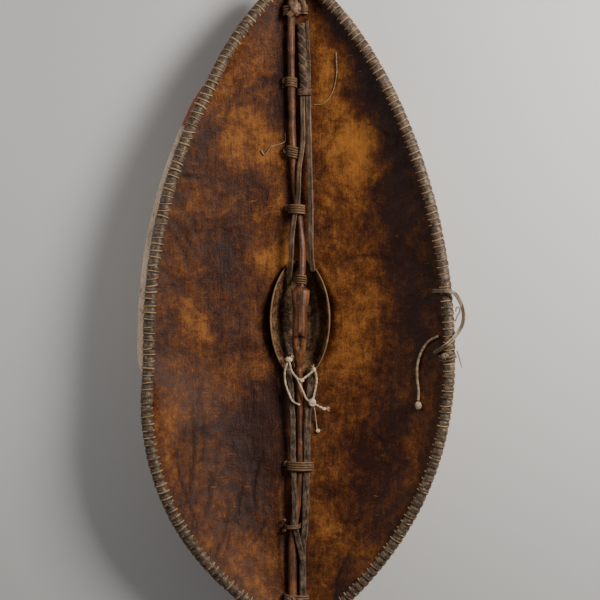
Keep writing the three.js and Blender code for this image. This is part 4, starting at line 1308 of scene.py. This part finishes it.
def strip_outline(width, thickness, ruck=0.0):
    """A strip's cross-section with soft edges and a slightly cupped back."""
    w, t = width / 2, thickness / 2
    rows = ((-w, -t * 0.3), (-w * 0.88, -t), (-w * 0.4, -t), (0, -t), (w * 0.4, -t), (w * 0.88, -t),
            (w, -t * 0.3),
            (w, t * 0.35), (w * 0.88, t), (w * 0.45, t * (1 - ruck)), (0, t * (1 - 1.6 * ruck)),
            (-w * 0.45, t * (1 - ruck)), (-w * 0.88, t), (-w, t * 0.35))
    return np.array(rows)


def rawhide_strip(heap, points, width, thickness, count, seed, ruck=0.2, rough=1.0, slot=0, level=True):
    path = curve_through(points, count)
    side, up = frames_along(path, level=level)
    section = np.broadcast_to(strip_outline(width, thickness, ruck), (count, 14, 2)).copy()
    edge = np.abs(section[..., 0]) / (width / 2)
    places = path[:, None] + side[:, None] * section[..., :1]
    nibbled = rough * (0.7 * ruffle(places * (1, 0.5, 1), 5.0, seed) + 0.35 * ruffle(places, 1.8, seed + 1))
    section[..., 0] += np.sign(section[..., 0]) * nibbled * edge**4
    section[..., 1] += 0.3 * rough * ruffle(places * (1, 0.2, 1), 1.7, seed + 2)
    section *= end_shrink(count, 2)[:, None, None]
    heap.sweep(path, side, up, section, slot=slot)


class SHIELD_OT_straps(bpy.types.Operator):
    """Lays the four rawhide straps along the staff, with fibrous, nibbled edges"""

    bl_idname = "shield.straps"
    bl_label = "Straps"

    def execute(self, context):
        settings = context.scene.shield_strap
        smoother = fibrous("upper_rawhide", settings.strap_dark, settings.strap_light, 520.0, 0.05, 55.0,
                           0.0006, (0.4, 0.6), 0.45)
        rougher = fibrous("lower_rawhide", settings.strap_dark,
                          blend3(settings.strap_light, (0.16, 0.13, 0.1)),
                          700.0, 0.12, 80.0, 0.0011, (0.6, 0.85), 0.4)
        for seed, (name, (route, width)) in enumerate(STRAP_ROUTES.items()):
            lower = name.startswith("lower")
            heap = Heap()
            rawhide_strip(heap, route, width, STRAP_THICKNESS, 150, 40 + 3 * seed, 0.15,
                          1.2 if lower else 0.6)
            for end, way in ((route[-1], 1), (route[0], -1)):
                if lower:
                    frays(heap, end, (0.1, -1.0 * way, 0.1), 9, 9.0, 60 + seed, 0.4, 0.35)
            settle(heap.to_object(name + "_strip", rougher if lower else smoother), "strap_hide", name)
        return {"FINISHED"}


class SHIELD_OT_wrapping(bpy.types.Operator):
    """Winds the bundle under the upper tip, with its slanting turns, its band and the strap beside it"""

    bl_idname = "shield.wrapping"
    bl_label = "Upper wrapping"

    def execute(self, context):
        settings = context.scene.shield_strap
        pitch = settings.seam_pitch / MM
        count, sides = 240, 32
        share = np.linspace(0, 1, count)
        y, x = blend(390, 500, share), blend(7.5, 1.8, share)
        half_width, half_depth = blend(8.3, 6.9, share), 5.4
        path = np.stack([x, y, inner_height(x, y) + 2 + 6], axis=-1)
        angle = 2 * np.pi * (np.arange(sides) + 0.5) / sides
        lean = 0.9 * np.cos(angle)[None, :] * half_width[:, None]
        turn = ((y[:, None] + lean + 2.2 * ruffle(path, 25.0, 45)[:, None]) / pitch) % 1.0
        lapped = 1.5 * (turn - 0.45) - 1.5 * bell(turn / 0.07) - 0.9 * bell((turn - 1) / 0.05)
        section = np.stack([(half_width[:, None] + lapped) * np.cos(angle),
                            (half_depth + lapped) * np.sin(angle)], -1)
        side, up = frames_along(path, level=True)
        section = section * end_shrink(count, 3)[:, None, None]
        heap = Heap()
        heap.sweep(path, side, up, section)
        winding = fibrous("wound_rawhide", settings.strap_dark, settings.strap_light, 420.0, 0.3, 60.0,
                          0.0006,
                          (0.45, 0.65), 0.5)
        rawhide_strip(heap, [over_hide(15.5, 392, 9), over_hide(15.2, 430, 8), over_hide(13.5, 470, 8),
                             over_hide(12, 503, 8)], 5.6, 2.6, 60, 71, 0.1, 0.8)
        band = [over_hide(-3.5, 385.5, 8.5), over_hide(-2.5, 385.5, 13), over_hide(4, 385.5, 15),
                over_hide(12, 385.5, 15), over_hide(18.2, 385.5, 13), over_hide(19.2, 385.5, 8)]
        rawhide_strip(heap, band, 11.0, 2.2, 50, 75, 0.1, 0.6, level=False)
        settle(heap.to_object("wrapped_bundle", winding), "strap_hide", "upper_wrapping")
        return {"FINISHED"}


BINDINGS = {
    "staff_binding_top": (-22.4, -7.6, 402, 0.8, 4, 3.0),
    "staff_binding_upper": (-20.6, -4.6, 285, 0.8, 5, 3.0),
    "staff_binding_middle": (-17.5, 6.5, 188, 8.0, 4, 3.0),
    "staff_binding_lower": (-19.5, 21.0, -250, 7.0, 4, 3.0),
    "staff_binding_bottom": (-24.0, -0.5, -350, 11.0, 3, 2.0),
}
THONG = 4.0


def arch_line(left, right, top, y, thickness, lean=0.0):
    """A thong's way: up off the hide, over what it ties down, and back to the hide."""
    middle, half = (left + right) / 2, (right - left) / 2
    slope = float(inner_height(middle, y + 5) - inner_height(middle, y - 5)) / 10
    feet = max(float(inner_height(left - thickness, y)), float(inner_height(right + thickness, y))) + 0.9
    shoulder = (feet + top) / 2
    turn = np.pi * (1 - np.linspace(0, 1, 9))
    xs = np.concatenate([[left], middle + half * np.cos(turn), [right]])
    zs = np.concatenate([[feet], shoulder + (top - shoulder) * np.sin(turn), [feet]])
    ahead = lean * np.linspace(-0.5, 0.5, len(xs))
    out = np.stack([np.concatenate([[-1], np.cos(turn), [1]]), 0 * xs,
                    np.concatenate([[0], np.sin(turn), [0]])], -1)
    line = np.stack([xs, y + ahead, zs + slope * ahead], -1)
    return line + unit(out) * thickness * 0.5, slope


def turns_of_thong(heap, left, right, y, lift, turns, thickness, lean, seed, width=THONG):
    top = float(staff_top(y)) + lift
    for turn in range(turns):
        ahead = (turn + 0.5 - turns / 2) * width
        line, slope = arch_line(left, right, top, y, thickness,
                                lean * (1 + 0.3 * math.sin(seed + 2.1 * turn)))
        line = line + np.array((0, ahead, slope * ahead))
        strand(heap, line, width * 0.5, thickness * 0.5, 34, 9, seed=seed + turn, rough=0.16)


def thong_ring(heap, y, turns, seed, lean=3.0, width=THONG):
    """Turns wound right round the staff."""
    middle, radius = np.array((float(staff_x(y)), y, float(staff_height(y)))), float(staff_radius(y)) + 2.2
    ahead = unit(np.array((0, 4.0, float(staff_height(y + 2) - staff_height(y - 2)))))
    above = unit(np.cross((1.0, 0, 0), ahead))
    total = np.linspace(0, 2 * np.pi * turns, 30 * turns)
    along = (total / (2 * np.pi) - turns / 2) * width + lean * 0.3 * np.sin(total)
    path = middle + radius * (np.cos(total)[:, None] * (1.0, 0, 0) + np.sin(total)[:, None] * above)
    path = path + along[:, None] * ahead
    strand(heap, path[::3], 1.5, 1.5, 30 * turns, 8, seed=seed, rough=0.12)


class SHIELD_OT_bindings(bpy.types.Operator):
    """Ties the staff and straps to the hide with turns of thong, their knots and frayed ends"""

    bl_idname = "shield.bindings"
    bl_label = "Thong bindings"

    def execute(self, context):
        settings = context.scene.shield_strap
        thong = fibrous("binding_thong", settings.thong_dark, settings.thong_light, 800.0, 0.1, 90.0, 0.0004,
                        (0.4, 0.65), 0.5)
        leans = {"staff_binding_top": -3, "staff_binding_upper": -6, "staff_binding_middle": -2,
                 "staff_binding_lower": -1, "staff_binding_bottom": 2}
        for seed, (name, (left, right, y, lift, turns, thickness)) in enumerate(BINDINGS.items()):
            heap = Heap()
            width = THONG if thickness > 2.5 else 2.2
            turns_of_thong(heap, left, right, y, lift, turns, thickness, leans[name], seed, width)
            foot = float(inner_height(left - 4, y)) + 4
            if name != "staff_binding_bottom":
                knot(heap, (left - 4.0, y + 3, foot + 2), (4.6, 6.0, 3.2), 1.2, 5, seed=90 + seed)
                frays(heap, (left - 5, y, foot), (-1, 0.3, 0.1), 10, 8.0, 30 + seed)
                frays(heap, (left - 4, y - 6, foot), (-0.8, -0.6, 0.1), 6, 7.0, 130 + seed)
            if name in ("staff_binding_middle", "staff_binding_upper"):
                side_x = right + 14
                frays(heap, (side_x, y, float(inner_height(side_x, y)) + 14), (1, 0.4, 0.1), 8, 8.0,
                      50 + seed)
            if name == "staff_binding_bottom":
                for at in (-9, 9):
                    knot(heap, (left - 3.0, y + at, foot + 4), (4.0, 3.4, 3.6), 0.9, 3, seed=200 + at)
            settle(heap.to_object(name + "_thong", thong), "thong", name)
        heap = Heap()
        thong_ring(heap, 68, 4, 3)
        settle(heap.to_object("grip_winding_thong", thong), "thong", "grip_winding")
        return {"FINISHED"}


class SHIELD_OT_lashings(bpy.types.Operator):
    """Knots the rawhide lashings over both ends of the staff"""

    bl_idname = "shield.lashings"
    bl_label = "Tip lashings"

    def execute(self, context):
        settings = context.scene.shield_strap
        hide = fibrous("lashing_rawhide", settings.strap_dark,
                       blend3(settings.strap_light, (0.3, 0.16, 0.09)),
                       500.0, 0.15, 70.0, 0.0008, (0.4, 0.65), 0.5)
        heap = Heap()
        turns_of_thong(heap, -26, 10.5, 520, 1.5, 4, 3.0, 5, 5)
        top = float(staff_top(523))
        strand(heap, [(-20, 508, top + 2), (-12, 516, top + 5.5), (-8, 526, top + 7), (-9, 536, top + 4)],
               5.5, 2.6, 40,
               10, seed=7, rough=0.2)
        strand(heap, [(-3, 510, top + 3), (-9, 518, top + 8), (-14, 528, top + 7), (-15, 537, top + 3)],
               4.2, 2.2, 40,
               10, seed=8, rough=0.2)
        strand(heap, [(4, 515, top), (6, 523, top + 5), (5, 532, top + 5), (0, 539, top)], 4.5, 2.8, 36, 10,
               seed=9, rough=0.2)
        knot(heap, (-6, 522, top + 4), (9, 10, 4.5), 2.2, 5, seed=17)
        settle(heap.to_object("top_lashing", hide), "strap_hide", "tip_lashing_top")
        heap = Heap()
        turns_of_thong(heap, -24, 13, -470, 1.5, 4, 3.0, -4, 6)
        top = float(staff_top(-474))
        knot(heap, (0, -474, top + 3.4), (6.4, 7, 4.6), 2.0, 6, seed=23)
        knot(heap, (-14, -468, top + 5.5), (7.5, 7, 3.8), 1.6, 5, seed=24)
        frays(heap, (-19, -466, top + 4), (-1, 0.3, 0), 8, 7.0, 77)
        settle(heap.to_object("bottom_lashing", hide), "strap_hide", "tip_lashing_bottom")
        return {"FINISHED"}


# ---- Mending cord and carrying strap --------------------------------------------------------

REPAIR_RUNS = (
    ((-20, -70, 57.5), (-26, -89, 54), (-25, -108, 52.5), (-20, -124, 54), (-12, -140, 56.5), (0, -146, 58)),
    ((-19, -69, 58), (-13.6, -89, 58.5), (-5, -101, 58.5), (4, -121, 57), (12, -137, 55.5), (21, -142, 56.5)),
    ((-5, -101, 58.5), (2, -103, 59), (10, -98, 57.5), (18.7, -91, 55), (25, -84, 53.5)),
    ((24.5, -85, 53.5), (28.5, -101, 52), (27, -115, 52), (24, -130, 53.5), (21, -142, 56.5)),
    ((21, -142, 56), (31, -148, 53), (44, -154, 50)),
)
CARRY_ROUTE = (
    (220, 48, 115.5), (226.5, 48, 126.5), (233, 48, 139), (243, 47.5, 146.5), (253, 44, 146),
    (261.5, 33, 141),
    (267.5, 18, 138), (269, 3.5, 137), (266, -10, 138), (258, -22, 141.5), (249, -32, 146), (240, -40, 146),
    (231, -48, 136.5), (222, -55, 120),
)


class SHIELD_OT_repair(bpy.types.Operator):
    """Ties the pale mending cord round the lower straps, with its knots and frayed ends"""

    bl_idname = "shield.repair"
    bl_label = "Mending cord"

    def execute(self, context):
        settings = context.scene.shield_cord
        white = fibrous("mending_cord", settings.cord_dark, settings.cord_light, 900.0, 0.3, 160.0, 0.0003,
                        (0.7, 0.9), 0.25)
        heap = Heap()
        for seed, run in enumerate(REPAIR_RUNS):
            strand(heap, run, 1.75, count=60, sides=12, lobes=3, pitch=7.0, seed=seed, rough=0.1)
        knot(heap, (-18.5, -68.5, 58.5), (6.0, 5.2, 4.2), 1.6, 6, seed=41)
        knot(heap, (21, -142, 56.5), (6.6, 7.4, 4.2), 1.6, 7, seed=42)
        knot(heap, (3, -104, 59.5), (4.4, 3.6, 3.0), 1.4, 4, seed=43)
        knot(heap, (24, -86, 54.5), (3.6, 4.4, 2.8), 1.3, 4, seed=44)
        knot(heap, (41, -153, 51), (3.8, 3.0, 2.4), 1.2, 4, seed=45)
        for place, way, count, seed in (((-20, -67, 60), (-1, 0.6, 0.3), 12, 51),
                                        ((-15, -65, 60), (0.6, 1, 0.3), 9, 52),
                                        ((23, -84, 55), (-0.6, 1, 0.3), 9, 53),
                                        ((44, -154, 51), (1, 0.2, 0.1), 14, 54),
                                        ((21, -139, 58), (-0.2, 1, 0.2), 7, 55),
                                        ((46, -150, 51), (0.7, -0.6, 0), 8, 56)):
            frays(heap, place, way, count, 7.5, seed, 0.32, 0.45)
        settle(heap.to_object("mending_cord_ties", white), "mending_cord", "repair_cord")
        return {"FINISHED"}


class SHIELD_OT_carry(bpy.types.Operator):
    """Loops the carrying strap over the rim, with its knot, spur and cut end"""

    bl_idname = "shield.carry"
    bl_label = "Carrying strap"

    def execute(self, context):
        settings = context.scene.shield_cord
        tan = fibrous("carrying_thong", settings.tan_dark, settings.tan_light, 600.0, 0.08, 90.0, 0.0004,
                      (0.4, 0.6), 0.45)
        dark = fibrous("knotted_thong", settings.tan_dark, blend3(settings.tan_dark, settings.tan_light, 0.3),
                       600.0, 0.1, 90.0, 0.0004, (0.4, 0.6), 0.6)
        heap = Heap()
        rawhide_strip(heap, CARRY_ROUTE, 6.4, 2.5, 130, 81, 0.1, 0.35)
        spur = ((258, -50, 141), (261, -60, 140), (264.5, -72, 138), (267, -79, 136))
        strand(heap, spur, 1.5, 1.2, 24, 8, taper=0.5, seed=4)
        curl = [(255.5, -2, 138), (258, 6, 140), (262, 14, 141.5), (261, 21, 142), (257, 20, 141),
                (256, 14, 139.5)]
        strand(heap, curl, 1.3, 1.0, 36, 8, seed=5)
        knot(heap, (238, -60, 139.5), (7.5, 6.5, 4.8), 1.9, 6, seed=61, slot=1)
        strand(heap, [(229, -60, 128), (236, -62, 137), (246, -61, 146), (256, -57, 143)], 2.2, 1.7, 40, 8,
               slot=1, seed=6)
        strand(heap, [(230, -66, 127), (238, -68, 138), (247, -66, 145.5), (257, -60, 142)], 1.8, 1.5, 40,
               8, slot=1,
               seed=7)
        settle(heap.to_object("carrying_strap", tan, dark), "tan_thong", "carry_strap")
        return {"FINISHED"}


# ---- The panel, and making everything -------------------------------------------------------

OPERATORS = (
    SHIELD_OT_stage, SHIELD_OT_loose_ends, SHIELD_OT_hide, SHIELD_OT_rim, SHIELD_OT_stitches, SHIELD_OT_staff,
    SHIELD_OT_guard, SHIELD_OT_straps, SHIELD_OT_wrapping, SHIELD_OT_bindings, SHIELD_OT_lashings,
    SHIELD_OT_repair, SHIELD_OT_carry,
)
SETTINGS = {
    "shield_stage": ShieldStageSettings,
    "shield_hide": ShieldHideSettings,
    "shield_rim": ShieldRimSettings,
    "shield_staff": ShieldStaffSettings,
    "shield_strap": ShieldStrapSettings,
    "shield_cord": ShieldCordSettings,
}


class SHIELD_PT_panel(bpy.types.Panel):
    """Lists the shield's pieces in the order of their making"""

    bl_idname = "SHIELD_PT_panel"
    bl_label = "Hide shield"
    bl_space_type = "VIEW_3D"
    bl_region_type = "UI"
    bl_category = "Shield"

    def draw(self, context):
        for name, kind in SETTINGS.items():
            box = self.layout.box()
            for key in kind.__annotations__:
                box.prop(getattr(context.scene, name), key)
        for operator in OPERATORS:
            self.layout.operator(operator.bl_idname)


CLASSES = (*SETTINGS.values(), *OPERATORS, SHIELD_PT_panel)


def register():
    for kind in CLASSES:
        bpy.utils.register_class(kind)
    for name, kind in SETTINGS.items():
        setattr(bpy.types.Scene, name, bpy.props.PointerProperty(type=kind))


def unregister():
    for name in SETTINGS:
        delattr(bpy.types.Scene, name)
    for kind in reversed(CLASSES):
        bpy.utils.unregister_class(kind)


def main():
    register()
    for operator in OPERATORS:
        group, name = operator.bl_idname.split(".")
        getattr(getattr(bpy.ops, group), name)()


if __name__ == "__main__":
    main()
